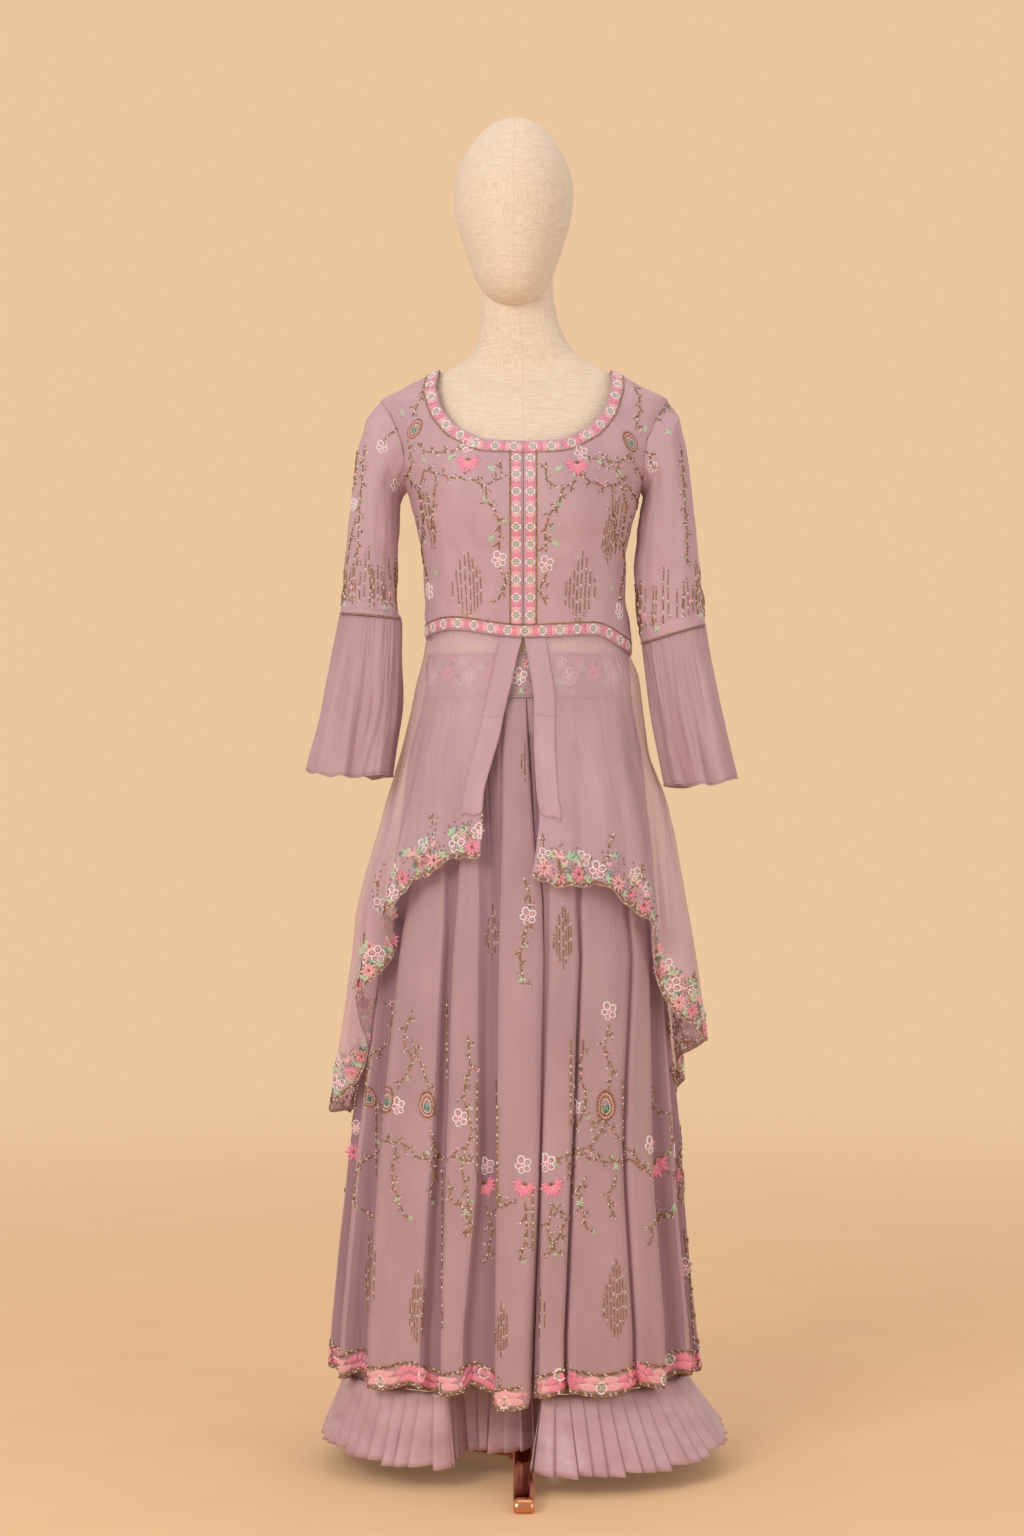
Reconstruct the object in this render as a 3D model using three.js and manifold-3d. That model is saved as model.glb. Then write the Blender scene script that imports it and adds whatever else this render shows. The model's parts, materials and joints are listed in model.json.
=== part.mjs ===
import * as THREE from 'three';
import Module from 'manifold-3d';

// A sharara set on a dress form without limbs. Millimetres, +Z up, the front faces -Y.
// The origin is on the floor under the form's pole. Left is the wearer's own left, +X.
// Angles round the body start at the front and grow towards the wearer's left.

const RIGHT_ANGLE = Math.PI / 2;
const TURN = 2 * Math.PI;

// Thickness of each cloth, and the gap that parts two pieces at a seam
const WALL = {
  bodice: 1.6, sleeve: 1.4, flounce: 1.2, peplum: 1.2, facing: 1.0,
  belt: 3.0, overlay: 1.3, lining: 1.1, ruffle: 1.2,
};
const SEAM_GAP = 0.4;

// Heights that the pieces share
const UNDERARM_Z = 1235;
const SHOULDER_TIP_Z = 1351;
const NECK_POINT_Z = 1392;
const FRONT_NECK_Z = 1288;
const BACK_NECK_Z = 1352;
const BELT_TOP_Z = 1027;
const BELT_BOTTOM_Z = 971;
const CROTCH_Z = 700;
const OVERLAY_HEM_Z = 124;
const RUFFLE_SEAM_Z = 118;

// How square a section across the body is: 1 is an ellipse, less is squarer
const ROUNDNESS = 0.95;

const radians = (degrees) => (degrees * Math.PI) / 180;
const mix = (a, b, t) => a + (b - a) * t;
const clamp = (value, low, high) => Math.min(Math.max(value, low), high);
const smooth = (from, to, value) => {
  const t = clamp((value - from) / (to - from), 0, 1);
  return t * t * (3 - 2 * t);
};

// Reads a table of sizes at any key, on a curve through its rows that never overshoots them.
function table(names, rows) {
  const sorted = [...rows].sort((a, b) => a[0] - b[0]);
  const keys = sorted.map((row) => row[0]);
  const last = keys.length - 1;
  return (key, name) => {
    const values = sorted.map((row) => row[names.indexOf(name)]);
    if (key <= keys[0]) return values[0];
    if (key >= keys[last]) return values[last];
    const rise = (n) => (values[n + 1] - values[n]) / (keys[n + 1] - keys[n]);
    const slope = (n) => {
      if (n === 0) return rise(0);
      if (n === last) return rise(last - 1);
      const product = rise(n - 1) * rise(n);
      return product <= 0 ? 0 : (2 * product) / (rise(n - 1) + rise(n));
    };
    const k = keys.findIndex((next, n) => n > 0 && key <= next) - 1;
    const width = keys[k + 1] - keys[k];
    const t = (key - keys[k]) / width;
    const start = values[k] + slope(k) * width * t * (1 - t) ** 2;
    const end = values[k + 1] - slope(k + 1) * width * (1 - t) * t * t;
    return mix(start, end, t * t * (3 - 2 * t));
  };
}

// Sections across the body, outside of the cloth: half widths to the wearer's left and right,
// depths before and behind the centre, and how far back the centre lies.
const BODICE = table(['z', 'left', 'right', 'front', 'back', 'centre'], [
  [1024, 136.5, 122, 96, 85, 0],
  [1047, 137, 123, 96, 84, 0],
  [1100, 130, 125, 101, 84, 0],
  [1148, 130, 127, 109, 87, 0],
  [1200, 140, 137, 121, 90, 0],
  [1240, 151, 149, 119, 94, 1],
  [1300, 173, 170, 99, 98, 4],
  [1351, 184, 180, 76, 92, 8],
  [1372, 148, 144, 65, 78, 10],
  [1392, 112, 106, 55, 62, 12],
]);
const PEPLUM = table(['z', 'left', 'right', 'front', 'back', 'centre'], [
  [440, 243, 248, 190, 232, 8],
  [550, 236, 232, 180, 222, 6],
  [650, 222, 218, 167, 204, 4],
  [700, 213, 213, 160, 192, 3],
  [750, 204, 201, 152, 178, 2],
  [800, 195, 186, 144, 164, 1],
  [850, 182, 172, 134, 148, 0],
  [900, 162, 157, 122, 132, 0],
  [950, 154, 144, 110, 116, 0],
  [1000, 147, 133, 104, 101, 0],
  [1022, 140, 127, 100, 92, 0],
  [1047, 137, 123, 96, 84, 0],
]);
const SKIRT = table(['z', 'left', 'right', 'front', 'back', 'centre'], [
  [100, 230, 250, 186, 206, 24],
  [190, 220, 243, 182, 202, 22],
  [300, 209, 232, 176, 194, 20],
  [430, 200, 217, 166, 184, 16],
  [600, 181, 193, 152, 166, 10],
  [700, 172, 176, 141, 150, 6],
  [800, 163, 158, 127, 134, 3],
  [900, 151, 145, 111, 112, 0],
  [971, 138, 126, 98, 94, 0],
  [1027, 133, 120, 93, 83, 0],
]);

// The point of a section at a height and an angle, moved in by an inset
function onSection(body, z, angle, inset = 0) {
  const sine = Math.sin(angle);
  const cosine = Math.cos(angle);
  const bend = (value) => Math.sign(value) * Math.abs(value) ** ROUNDNESS;
  const width = body(z, sine < 0 ? 'right' : 'left') - inset;
  const depth = body(z, cosine < 0 ? 'back' : 'front') - inset;
  return new THREE.Vector3(width * bend(sine), body(z, 'centre') - depth * bend(cosine), z);
}

// The angle at which a section has a given share of its half width
const angleAtShare = (share) => Math.asin(clamp(share, -1, 1) ** (1 / ROUNDNESS));

const X_AXIS = new THREE.Vector3(1, 0, 0);
const Y_AXIS = new THREE.Vector3(0, 1, 0);
const Z_AXIS = new THREE.Vector3(0, 0, 1);

// A cloth surface: rows of points from top to bottom, each row running round the body.
// turn is 1 where the rows run from the front towards +X, and -1 the other way.
// flat gives the axes along which a point's wall may not lean, so that seams meet squarely.
class Cloth {
  constructor(rows, { wall, turn = 1, closed = false, flat = () => [], present = () => true }) {
    this.rows = rows;
    this.closed = closed;
    this.present = present;
    this.down = rows.length - 1;
    this.across = closed ? rows[0].length : rows[0].length - 1;
    const sums = rows.map((row) => row.map(() => new THREE.Vector3()));
    this.eachCell((i, j, k) => {
      const normal = this.cellNormal(i, j, k, turn);
      [sums[i][j], sums[i][k], sums[i + 1][j], sums[i + 1][k]].forEach((sum) => sum.add(normal));
    });
    const leanest = rows.map((row) => row.map(() => 1));
    sums.forEach((row) => row.forEach((sum) => sum.normalize()));
    this.eachCell((i, j, k) => {
      const normal = this.cellNormal(i, j, k, turn);
      [[i, j], [i, k], [i + 1, j], [i + 1, k]].forEach(([r, c]) => {
        leanest[r][c] = Math.min(leanest[r][c], normal.dot(sums[r][c]));
      });
    });
    this.inward = sums.map((row, i) => row.map((sum, j) => {
      const direction = sum.clone();
      flat(i, j).forEach((axis) => direction.addScaledVector(axis, -direction.dot(axis)));
      return direction.normalize().multiplyScalar(-wall / Math.max(leanest[i][j], 0.6));
    }));
    this.turn = turn;
  }

  eachCell(visit) {
    for (let i = 0; i < this.down; i += 1) {
      for (let j = 0; j < this.across; j += 1) {
        if (this.present(i, j)) visit(i, j, (j + 1) % this.rows[0].length);
      }
    }
  }

  cellNormal(i, j, k, turn) {
    const rightDown = this.rows[i + 1][k].clone().sub(this.rows[i][j]);
    const leftDown = this.rows[i + 1][j].clone().sub(this.rows[i][k]);
    return leftDown.cross(rightDown).multiplyScalar(turn).normalize();
  }

  // The solid wall of the columns from one to another, each cut edge trimmed by half a seam
  solid({ from = 0, to = this.across, trimFrom = 0, trimTo = 0 } = {}) {
    const wraps = this.closed && to - from === this.across;
    const columns = wraps ? this.across : to - from + 1;
    const count = this.rows[0].length;
    const positions = [];
    const index = [];
    const has = (i, j) => {
      if (i < 0 || i >= this.down) return false;
      if (!wraps && (j < 0 || j >= columns - 1)) return false;
      return this.present(i, (from + j + count) % count);
    };
    const vertex = (i, j) => 2 * (i * columns + ((j + columns) % columns));
    this.rows.forEach((row, i) => {
      for (let j = 0; j < columns; j += 1) {
        const column = (from + j) % count;
        const point = row[column].clone();
        if (j === 0 && trimFrom) stepTowards(point, row[(column + 1) % count], trimFrom);
        if (j === columns - 1 && trimTo) stepTowards(point, row[column - 1], trimTo);
        const inner = point.clone().add(this.inward[i][column]);
        positions.push(point.x, point.y, point.z, inner.x, inner.y, inner.z);
      }
    });
    const quad = (a, b, c, d) => {
      if (this.turn > 0) index.push(a, b, c, a, c, d);
      else index.push(a, c, b, a, d, c);
    };
    for (let i = 0; i < this.down; i += 1) {
      for (let j = 0; j < (wraps ? columns : columns - 1); j += 1) {
        if (has(i, j)) {
          const a = vertex(i, j);
          const b = vertex(i, j + 1);
          const c = vertex(i + 1, j + 1);
          const d = vertex(i + 1, j);
          quad(a, d, c, b);
          quad(a + 1, b + 1, c + 1, d + 1);
          if (!has(i - 1, j)) quad(a, b, b + 1, a + 1);
          if (!has(i + 1, j)) quad(d, d + 1, c + 1, c);
          if (!has(i, j - 1)) quad(a, a + 1, d + 1, d);
          if (!has(i, j + 1)) quad(b, c, c + 1, b + 1);
        }
      }
    }
    return geometryOf(positions, index);
  }
}

const stepTowards = (point, target, step) => {
  point.addScaledVector(target.clone().sub(point).normalize(), step);
};

// A geometry from its points and faces, with the points that no face uses left out
function geometryOf(positions, index) {
  const places = new Map();
  const kept = [];
  const faces = index.map((vertex) => {
    if (!places.has(vertex)) {
      places.set(vertex, kept.length / 3);
      kept.push(...positions.slice(3 * vertex, 3 * vertex + 3));
    }
    return places.get(vertex);
  });
  const geometry = new THREE.BufferGeometry();
  geometry.setAttribute('position', new THREE.Float32BufferAttribute(kept, 3));
  geometry.setIndex(faces);
  geometry.computeVertexNormals();
  return geometry;
}

const count = (length) => Array.from({ length }, (_, k) => k);

// Materials, one to a mesh
const cloth = (color) => () => new THREE.MeshStandardMaterial({
  color, roughness: 0.85, metalness: 0, side: THREE.FrontSide,
});
const MATERIALS = {
  georgette: cloth(0xc9a0a2),
  sheer: cloth(0xc9a3a3),
  band: cloth(0xc39a9b),
  lining: cloth(0xa87f80),
  pleated: cloth(0xb98c89),
  linen: cloth(0xf0d3b8),
  roseGold: () => new THREE.MeshStandardMaterial({ color: 0xb0643c, roughness: 0.2, metalness: 1 }),
};

const object = new THREE.Group();
function addPiece(name, geometry, material) {
  const mesh = new THREE.Mesh(geometry, MATERIALS[material]());
  mesh.name = name;
  object.add(mesh);
  return mesh;
}

// The waist seam, which joins the bodice and the peplum, dips to the wearer's left
const WAIST_SEAM = table(['degrees', 'z'], [
  [-180, 1040], [-90, 1047], [-45, 1056], [0, 1045], [40, 1049], [65, 1034], [90, 1025],
  [130, 1032], [180, 1040],
]);
const SEAM_STEP = radians(11.25);

// A point of the waist seam, on straight lines between its marks
function waistPoint(angle) {
  const wrapped = Math.atan2(Math.sin(angle), Math.cos(angle));
  const mark = Math.floor(wrapped / SEAM_STEP);
  const at = (n) => {
    const here = n * SEAM_STEP;
    const degrees = THREE.MathUtils.radToDeg(Math.atan2(Math.sin(here), Math.cos(here)));
    return onSection(BODICE, WAIST_SEAM(degrees, 'z'), here);
  };
  return at(mark).lerp(at(mark + 1), wrapped / SEAM_STEP - mark);
}

// Bodice: the armhole as a share of the half width, and the neckline, before and behind
const ARMHOLE = table(['z', 'front', 'back'], [
  [1235, 1, 1], [1254, 0.965, 0.975], [1274, 0.925, 0.955], [1296, 0.905, 0.945],
  [1318, 0.925, 0.955], [1337, 0.96, 0.975], [1351, 1, 1],
]);
const NECKLINE = table(['share', 'frontX', 'frontZ', 'backX', 'backZ'], [
  [0, 0, FRONT_NECK_Z, 0, BACK_NECK_Z],
  [0.2, 46, 1291, 52, 1354],
  [0.4, 83, 1310, 76, 1362],
  [0.6, 102, 1335, 92, 1371],
  [0.8, 110, 1363, 104, 1382],
]);
const BODICE_ROWS = 12;
const HALF_COLUMNS = 8;
const ARMHOLE_GAP = 1.3;
// The share of the rows that lies below the neckline
const NECK_START = { front: 7 / BODICE_ROWS, back: 9 / BODICE_ROWS };

// The angle and height where a row of the bodice starts, at the centre or the neckline
function bodiceInner(face, side, v) {
  const share = (v - NECK_START[face]) / (1 - NECK_START[face]);
  if (share > 0.99) return [RIGHT_ANGLE, NECK_POINT_Z];
  if (share <= 0) {
    const middle = face === 'front' ? 0 : Math.PI;
    return [0, mix(waistPoint(middle).z, NECKLINE(0, `${face}Z`), v / NECK_START[face])];
  }
  const z = NECKLINE(share, `${face}Z`);
  return [angleAtShare(NECKLINE(share, `${face}X`) / BODICE(z, side < 0 ? 'right' : 'left')), z];
}

// The angle and height where it ends, at the side seam, the armhole or the shoulder tip
function bodiceOuter(face, side, v) {
  if (v > 0.5) {
    const z = mix(UNDERARM_Z, SHOULDER_TIP_Z, 2 * v - 1);
    return [angleAtShare(ARMHOLE(z, face)), z];
  }
  return [RIGHT_ANGLE, mix(waistPoint(side * RIGHT_ANGLE).z, UNDERARM_Z, 2 * v)];
}

// A point of the bodice: u runs from the centre to the side and v from waist to shoulder
function bodicePoint(face, side, u, v) {
  const inner = bodiceInner(face, side, v);
  const outer = bodiceOuter(face, side, v);
  const fromFront = (angle) => (face === 'front' ? angle : Math.PI - angle) * side;
  const angle = mix(inner[0], outer[0], u);
  const straight = mix(waistPoint(fromFront(0)).z, waistPoint(fromFront(RIGHT_ANGLE)).z, u);
  const dip = waistPoint(fromFront(u * RIGHT_ANGLE)).z - straight;
  const z = mix(inner[1], outer[1], u) + dip * Math.max(1 - 2 * v, 0);
  const point = onSection(BODICE, z, fromFront(angle));
  if (v === 1) point.y += (face === 'front' ? -SEAM_GAP : SEAM_GAP) / 2;
  return point;
}

const bodiceRow = (face, side, i, columns) => (
  count(columns + 1).map((j) => bodicePoint(face, side, j / columns, 1 - i / BODICE_ROWS))
);
// Walls at the waist stay level, and at a side, shoulder or centre seam they stand across it
function bodiceFlat(sideColumns, middleColumn) {
  return (i, j) => {
    const axes = [];
    if (i === BODICE_ROWS) axes.push(Z_AXIS);
    if (i === 0 || (sideColumns.includes(j) && i >= BODICE_ROWS / 2)) axes.push(Y_AXIS);
    if (j === middleColumn) axes.push(X_AXIS);
    return axes;
  };
}

function makeBodice() {
  const trims = { trimFrom: SEAM_GAP / 2, trimTo: SEAM_GAP / 2 };
  [['bodice_front_left', 1], ['bodice_front_right', -1]].forEach(([name, side]) => {
    const rows = count(BODICE_ROWS + 1).map((i) => bodiceRow('front', side, i, HALF_COLUMNS));
    const front = new Cloth(rows, {
      wall: WALL.bodice, turn: side, flat: bodiceFlat([HALF_COLUMNS], 0),
    });
    addPiece(name, front.solid(trims), 'georgette');
  });
  // Above its neckline the back has no middle column, and each half has one column fewer.
  const neckRow = BODICE_ROWS * (1 - NECK_START.back);
  const rows = count(BODICE_ROWS + 1).map((i) => {
    const columns = i < neckRow ? HALF_COLUMNS - 1 : HALF_COLUMNS;
    const left = bodiceRow('back', 1, i, columns).reverse();
    const right = bodiceRow('back', -1, i, columns);
    const middle = i < neckRow ? [onSection(BODICE, BACK_NECK_Z, Math.PI)] : [];
    return [...left, ...middle, ...(i < neckRow ? right : right.slice(1))];
  });
  const back = new Cloth(rows, {
    wall: WALL.bodice,
    flat: bodiceFlat([0, 2 * HALF_COLUMNS], -1),
    present: (i, j) => i >= neckRow || (j !== HALF_COLUMNS - 1 && j !== HALF_COLUMNS),
  });
  addPiece('bodice_back', back.solid(trims), 'georgette');
}

// Sleeves: the outer and inner edges seen from the front, with the depth and its centre.
// The first row is the armhole itself.
const SLEEVES = {
  left: [
    { outX: 199, outZ: 1330, inX: 153, inZ: 1229, depth: 50, centre: 8 },
    { outX: 208.5, outZ: 1290, inX: 151, inZ: 1218, depth: 49, centre: 5 },
    { outX: 216.5, outZ: 1225, inX: 146, inZ: 1190, depth: 47, centre: 0 },
    { outX: 223, outZ: 1160, inX: 141, inZ: 1140, depth: 44, centre: -5 },
    { outX: 229, outZ: 1100, inX: 142, inZ: 1085, depth: 42, centre: -10 },
    { outX: 231, outZ: 1064, inX: 150, inZ: 1040, depth: 42, centre: -12 },
  ],
  right: [
    { outX: -199, outZ: 1328, inX: -153, inZ: 1229, depth: 50, centre: 8 },
    { outX: -211, outZ: 1288, inX: -156, inZ: 1218, depth: 49, centre: 5 },
    { outX: -219, outZ: 1225, inX: -157, inZ: 1190, depth: 47, centre: 0 },
    { outX: -225.5, outZ: 1160, inX: -159, inZ: 1140, depth: 44, centre: -5 },
    { outX: -230, outZ: 1100, inX: -158, inZ: 1088, depth: 42, centre: -10 },
    { outX: -232, outZ: 1078, inX: -154, inZ: 1071, depth: 42, centre: -12 },
  ],
};
// Flounces: the same edges of the outermost cloth, and how deep its gathers are
const FLOUNCES = {
  left: [
    { outX: 232, outZ: 1063.4, inX: 150, inZ: 1039.4, depth: 43, centre: -12, gather: 1.5 },
    { outX: 251, outZ: 965, inX: 161, inZ: 950, depth: 60, centre: -18, gather: 5 },
    { outX: 272, outZ: 878, inX: 178, inZ: 866, depth: 72, centre: -24, gather: 8 },
  ],
  right: [
    { outX: -233, outZ: 1077, inX: -152, inZ: 1070, depth: 43, centre: -12, gather: 1.5 },
    { outX: -254, outZ: 975, inX: -151, inZ: 975, depth: 62, centre: -14, gather: 5 },
    { outX: -274, outZ: 886, inX: -164, inZ: 878, depth: 72, centre: -24, gather: 8 },
  ],
};
const FLOUNCE_WAVES = 18;
const HEM_DIP = 9;

// A ring through the outer and inner edge, at an angle from the outer edge to the front
function ringPoint(ring, angle, inset = 0) {
  const outer = new THREE.Vector3(ring.outX, ring.centre, ring.outZ);
  const inner = new THREE.Vector3(ring.inX, ring.centre, ring.inZ);
  const across = outer.clone().sub(inner).multiplyScalar(0.5);
  const middle = outer.clone().add(inner).multiplyScalar(0.5);
  const shrink = 1 - inset / across.length();
  middle.addScaledVector(across, Math.cos(angle) * shrink);
  middle.y -= (ring.depth - inset) * Math.sin(angle);
  return middle;
}

function makeSleeve(name, side) {
  const sign = side === 'left' ? 1 : -1;
  const steps = BODICE_ROWS / 2;
  const armhole = [
    ...count(steps).map((k) => bodicePoint('front', sign, 1, 1 - k / BODICE_ROWS)),
    ...count(steps).map((k) => bodicePoint('back', sign, 1, 0.5 + k / BODICE_ROWS)),
  ];
  const rings = SLEEVES[side].map((ring) => (
    count(2 * steps).map((k) => ringPoint(ring, (k / (2 * steps)) * TURN))
  ));
  const first = armhole.map((point, k) => {
    const start = point.clone();
    stepTowards(start, rings[0][k], ARMHOLE_GAP);
    return start;
  });
  const rows = [first, ...rings];
  const sleeve = new Cloth(rows, {
    wall: WALL.sleeve,
    turn: -sign,
    closed: true,
    flat: (i) => (i === 0 ? [X_AXIS] : i === rows.length - 1 ? [Z_AXIS] : []),
  });
  addPiece(name, sleeve.solid(), 'georgette');
}

function makeFlounce(name, side) {
  const sign = side === 'left' ? 1 : -1;
  const columns = FLOUNCE_WAVES * 4;
  const rings = FLOUNCES[side];
  const rows = rings.map((ring, i) => count(columns).map((j) => {
    const angle = (j / columns) * TURN;
    const wave = 0.5 - 0.5 * Math.cos((j / 4) * TURN);
    const point = ringPoint(ring, angle, ring.gather * wave);
    if (i === rings.length - 1) point.z -= HEM_DIP * Math.sin(angle) ** 2;
    return point;
  }));
  const flounce = new Cloth(rows, {
    wall: WALL.flounce,
    turn: -sign,
    closed: true,
    flat: (i) => (i === 0 ? [Z_AXIS] : []),
  });
  addPiece(name, flounce.solid(), 'georgette');
}

// Peplum: the hem's height round each half, from the front edge to the centre back
const PEPLUM_HEM = table(['degrees', 'left', 'right'], [
  [0, 752, 776], [14, 740, 774], [26, 742, 753], [36, 716, 748], [46, 694, 722],
  [53, 670, 700], [59, 614, 655], [66, 570, 596], [74, 545, 512], [84, 541, 452],
  [92, 540, 446], [100, 528, 444], [112, 490, 442], [124, 462, 441], [150, 442, 439],
  [180, 437, 437],
]);
// Where the front edges hang, which part from the centre as they fall
const PEPLUM_EDGE = table(['z', 'left', 'right'], [
  [1047, 1.5, 1.5], [967, 13, 20], [918, 13, 31], [857, 16, 48], [826, 20, 51], [752, 11, 54],
]);
// How deep the flutes are at each height, at the sides and behind
const FLUTE_DEPTH = table(['z', 'depth'], [
  [440, 26], [550, 32], [650, 32], [700, 27], [750, 21], [800, 14], [850, 8], [900, 3], [960, 0],
]);
// The crest of each flute, in degrees from the front, and how far it reaches either way
const FLUTES = {
  left: [
    { crest: 46, reach: 13 }, { crest: 72, reach: 13 }, { crest: 96, reach: 12 },
    { crest: 120, reach: 12 }, { crest: 143, reach: 12 }, { crest: 166, reach: 11 },
  ],
  right: [
    { crest: 53, reach: 7 }, { crest: 66, reach: 7 }, { crest: 84, reach: 9 },
    { crest: 104, reach: 10 }, { crest: 125, reach: 11 }, { crest: 147, reach: 11 },
    { crest: 169, reach: 11 },
  ],
};
const FRONT_WAVE = 3;
const PEPLUM_ROWS = 7;
const FACING_WIDTH = 26;
const FACING_ROWS = 5;

// How far in a point of the peplum lies from its outermost outline
function flute(side, degrees, z) {
  const list = FLUTES[side];
  if (degrees < list[0].crest) {
    const share = (list[0].crest - degrees) / list[0].crest;
    return FRONT_WAVE * (0.5 - 0.5 * Math.cos(share * 3 * TURN)) * smooth(960, 800, z);
  }
  const nearest = list.reduce((best, next) => (
    Math.abs(next.crest - degrees) < Math.abs(best.crest - degrees) ? next : best
  ));
  const away = clamp(Math.abs(degrees - nearest.crest) / nearest.reach, 0, 1);
  return FLUTE_DEPTH(z, 'depth') * (0.5 - 0.5 * Math.cos(away * Math.PI));
}

// A column of the peplum, from the waist seam to the hem. The first columns lie at set
// distances from the front edge, and the rest at set angles.
function peplumColumn(side, { degrees, fromEdge }) {
  const sign = side === 'left' ? 1 : -1;
  const hem = PEPLUM_HEM(degrees, side);
  const turned = (z) => {
    const edge = PEPLUM_EDGE(z, side) + (fromEdge ?? 0);
    const least = THREE.MathUtils.radToDeg(angleAtShare(edge / PEPLUM(z, side)));
    return fromEdge === undefined ? degrees + least * (1 - smooth(0, 60, degrees)) : least;
  };
  const seamAngle = sign * radians(turned(1047));
  const start = waistPoint(seamAngle);
  const second = Math.min(start.z - 16, PEPLUM_CLEAR_Z);
  return count(PEPLUM_ROWS + 1).map((i) => {
    if (i === 0) return start.setZ(start.z - WAIST_GAP);
    const z = mix(second, hem, (i - 1) / (PEPLUM_ROWS - 1));
    const angle = turned(z);
    return onSection(PEPLUM, z, sign * radians(angle), flute(side, angle, z));
  });
}

const PEPLUM_CLEAR_Z = 1021;
const WAIST_GAP = 0.7;
const EDGE_SAMPLES = [
  { degrees: 0, fromEdge: 0 }, { degrees: 5, fromEdge: FACING_WIDTH / 2 },
  { degrees: 10, fromEdge: FACING_WIDTH },
];
const PEPLUM_STEP = 6;

function peplumSamples() {
  const samples = [...EDGE_SAMPLES];
  for (let degrees = 17; degrees < 178; degrees += PEPLUM_STEP) samples.push({ degrees });
  return samples;
}

function makePeplum() {
  const samples = peplumSamples();
  const left = samples.map((sample) => peplumColumn('left', sample));
  const right = samples.map((sample) => peplumColumn('right', sample));
  const columns = [...left, peplumColumn('left', { degrees: 180 }), ...right.reverse()];
  const rows = count(PEPLUM_ROWS + 1).map((i) => columns.map((column) => column[i]));
  const last = columns.length - 1;
  const peplum = new Cloth(rows, {
    wall: WALL.peplum,
    flat: (i, j) => [...(i === 0 ? [Z_AXIS] : []), ...(j === 0 || j === last ? [X_AXIS] : [])],
  });
  const sideSeam = samples.findIndex(({ degrees }) => degrees > 90);
  const half = SEAM_GAP / 2;
  const pieces = [
    ['peplum_front_left', { from: 0, to: sideSeam, trimTo: half }],
    ['peplum_back', { from: sideSeam, to: last - sideSeam, trimFrom: half, trimTo: half }],
    ['peplum_front_right', { from: last - sideSeam, to: last, trimFrom: half }],
  ];
  pieces.forEach(([name, span]) => addPiece(name, peplum.solid(span), 'sheer'));
  makeFacing('front_facing_left', peplum, 0);
  makeFacing('front_facing_right', peplum, last - EDGE_SAMPLES.length + 1);
}

// A facing lies on the outside of the peplum's first columns, moved out from their points
function makeFacing(name, peplum, first) {
  const columns = EDGE_SAMPLES.map((_, k) => first + k);
  const edge = first === 0 ? 0 : columns.length - 1;
  const rows = peplum.rows.slice(0, FACING_ROWS + 1).map((row, i) => columns.map((column) => {
    const out = peplum.inward[i][column].clone().normalize();
    return row[column].clone().addScaledVector(out, -(SEAM_GAP + WALL.facing));
  }));
  const facing = new Cloth(rows, {
    wall: WALL.facing, flat: (i, j) => (j === edge ? [X_AXIS] : []),
  });
  addPiece(name, facing.solid(), 'georgette');
}

// Belt of the sharara
const BELT_COLUMNS = 24;
function makeBelt() {
  const rows = [BELT_TOP_Z, BELT_BOTTOM_Z].map((z) => (
    count(BELT_COLUMNS).map((j) => onSection(SKIRT, z, (j / BELT_COLUMNS) * TURN))
  ));
  const belt = new Cloth(rows, { wall: WALL.belt, closed: true, flat: () => [Z_AXIS] });
  addPiece('waist_belt', belt.solid(), 'band');
}

// The seam line at the front between the two legs, and the walls between the legs
const SPLIT_X = table(['z', 'x'], [[120, 10], [420, 18], [650, 19], [971, 4]]);
const INSEAM_GAP = table(['z', 'gap'], [[130, 8], [420, 3], [700, 0.8]]);
// The walls between the legs bow round the pole, which stands inside the right leg
const BOW = { out: 25, reach: 150, from: 800, full: 720 };

// How far to the wearer's left the wall of a leg lies at a depth and a height
function inseamX(side, y, z, inset = 0) {
  const sign = side === 'left' ? 1 : -1;
  const bow = BOW.out * Math.max(1 - (y / BOW.reach) ** 2, 0) * smooth(BOW.from, BOW.full, z);
  return SPLIT_X(z, 'x') + bow + sign * (INSEAM_GAP(z, 'gap') / 2 + inset);
}

// Folds of the overlay's front: x of each fold edge at three heights, the heights being
// those of FOLD_HEIGHTS, and how far the cloth there lies behind the outermost outline.
const FOLD_HEIGHTS = [650, 420, 190];
const FRONT_FOLDS = {
  left: [
    { x: [10, 8, 2], behind: 0.7 }, { x: [24, 20, 16], behind: 0.7 }, { x: [35, 25, 20], behind: 0 },
    { x: [68, 59, 49], behind: 0 }, { x: [70, 61, 51], behind: 0.6 },
    { x: [75, 66, 56], behind: 0 }, { x: [103, 94, 95], behind: 0 },
    { x: [132, 122, 134], behind: 0 }, { x: [135, 125, 137], behind: 0.6 },
    { x: [140, 130, 142], behind: 0 }, { x: [158, 160, 176], behind: 0 },
  ],
  right: [
    { x: [-24, -20, -5], behind: 0 }, { x: [30, 33, 35], behind: 0 },
    { x: [36, 39, 41], behind: 1 }, { x: [42, 50, 67], behind: 1 },
    { x: [56, 56, 74], behind: 0 }, { x: [87, 94, 101], behind: 0 },
    { x: [91, 99, 106], behind: 1 }, { x: [96, 107, 121], behind: 1 },
    { x: [101, 113, 127], behind: 0 }, { x: [128, 146, 161], behind: 0 },
    { x: [155, 177, 193], behind: 0 },
  ],
};
const FOLD_DEPTH = table(['z', 'front', 'side'], [
  [120, 15, 16], [420, 13, 14], [650, 9, 10], [800, 5, 5], [900, 2.5, 2.5], [971, 0, 0],
]);
// At the belt the front folds share this many degrees, and the first meets the other leg
const GATHERED_SPAN = 62;
const CENTRE_TOP = { left: 1, right: -3 };
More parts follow.
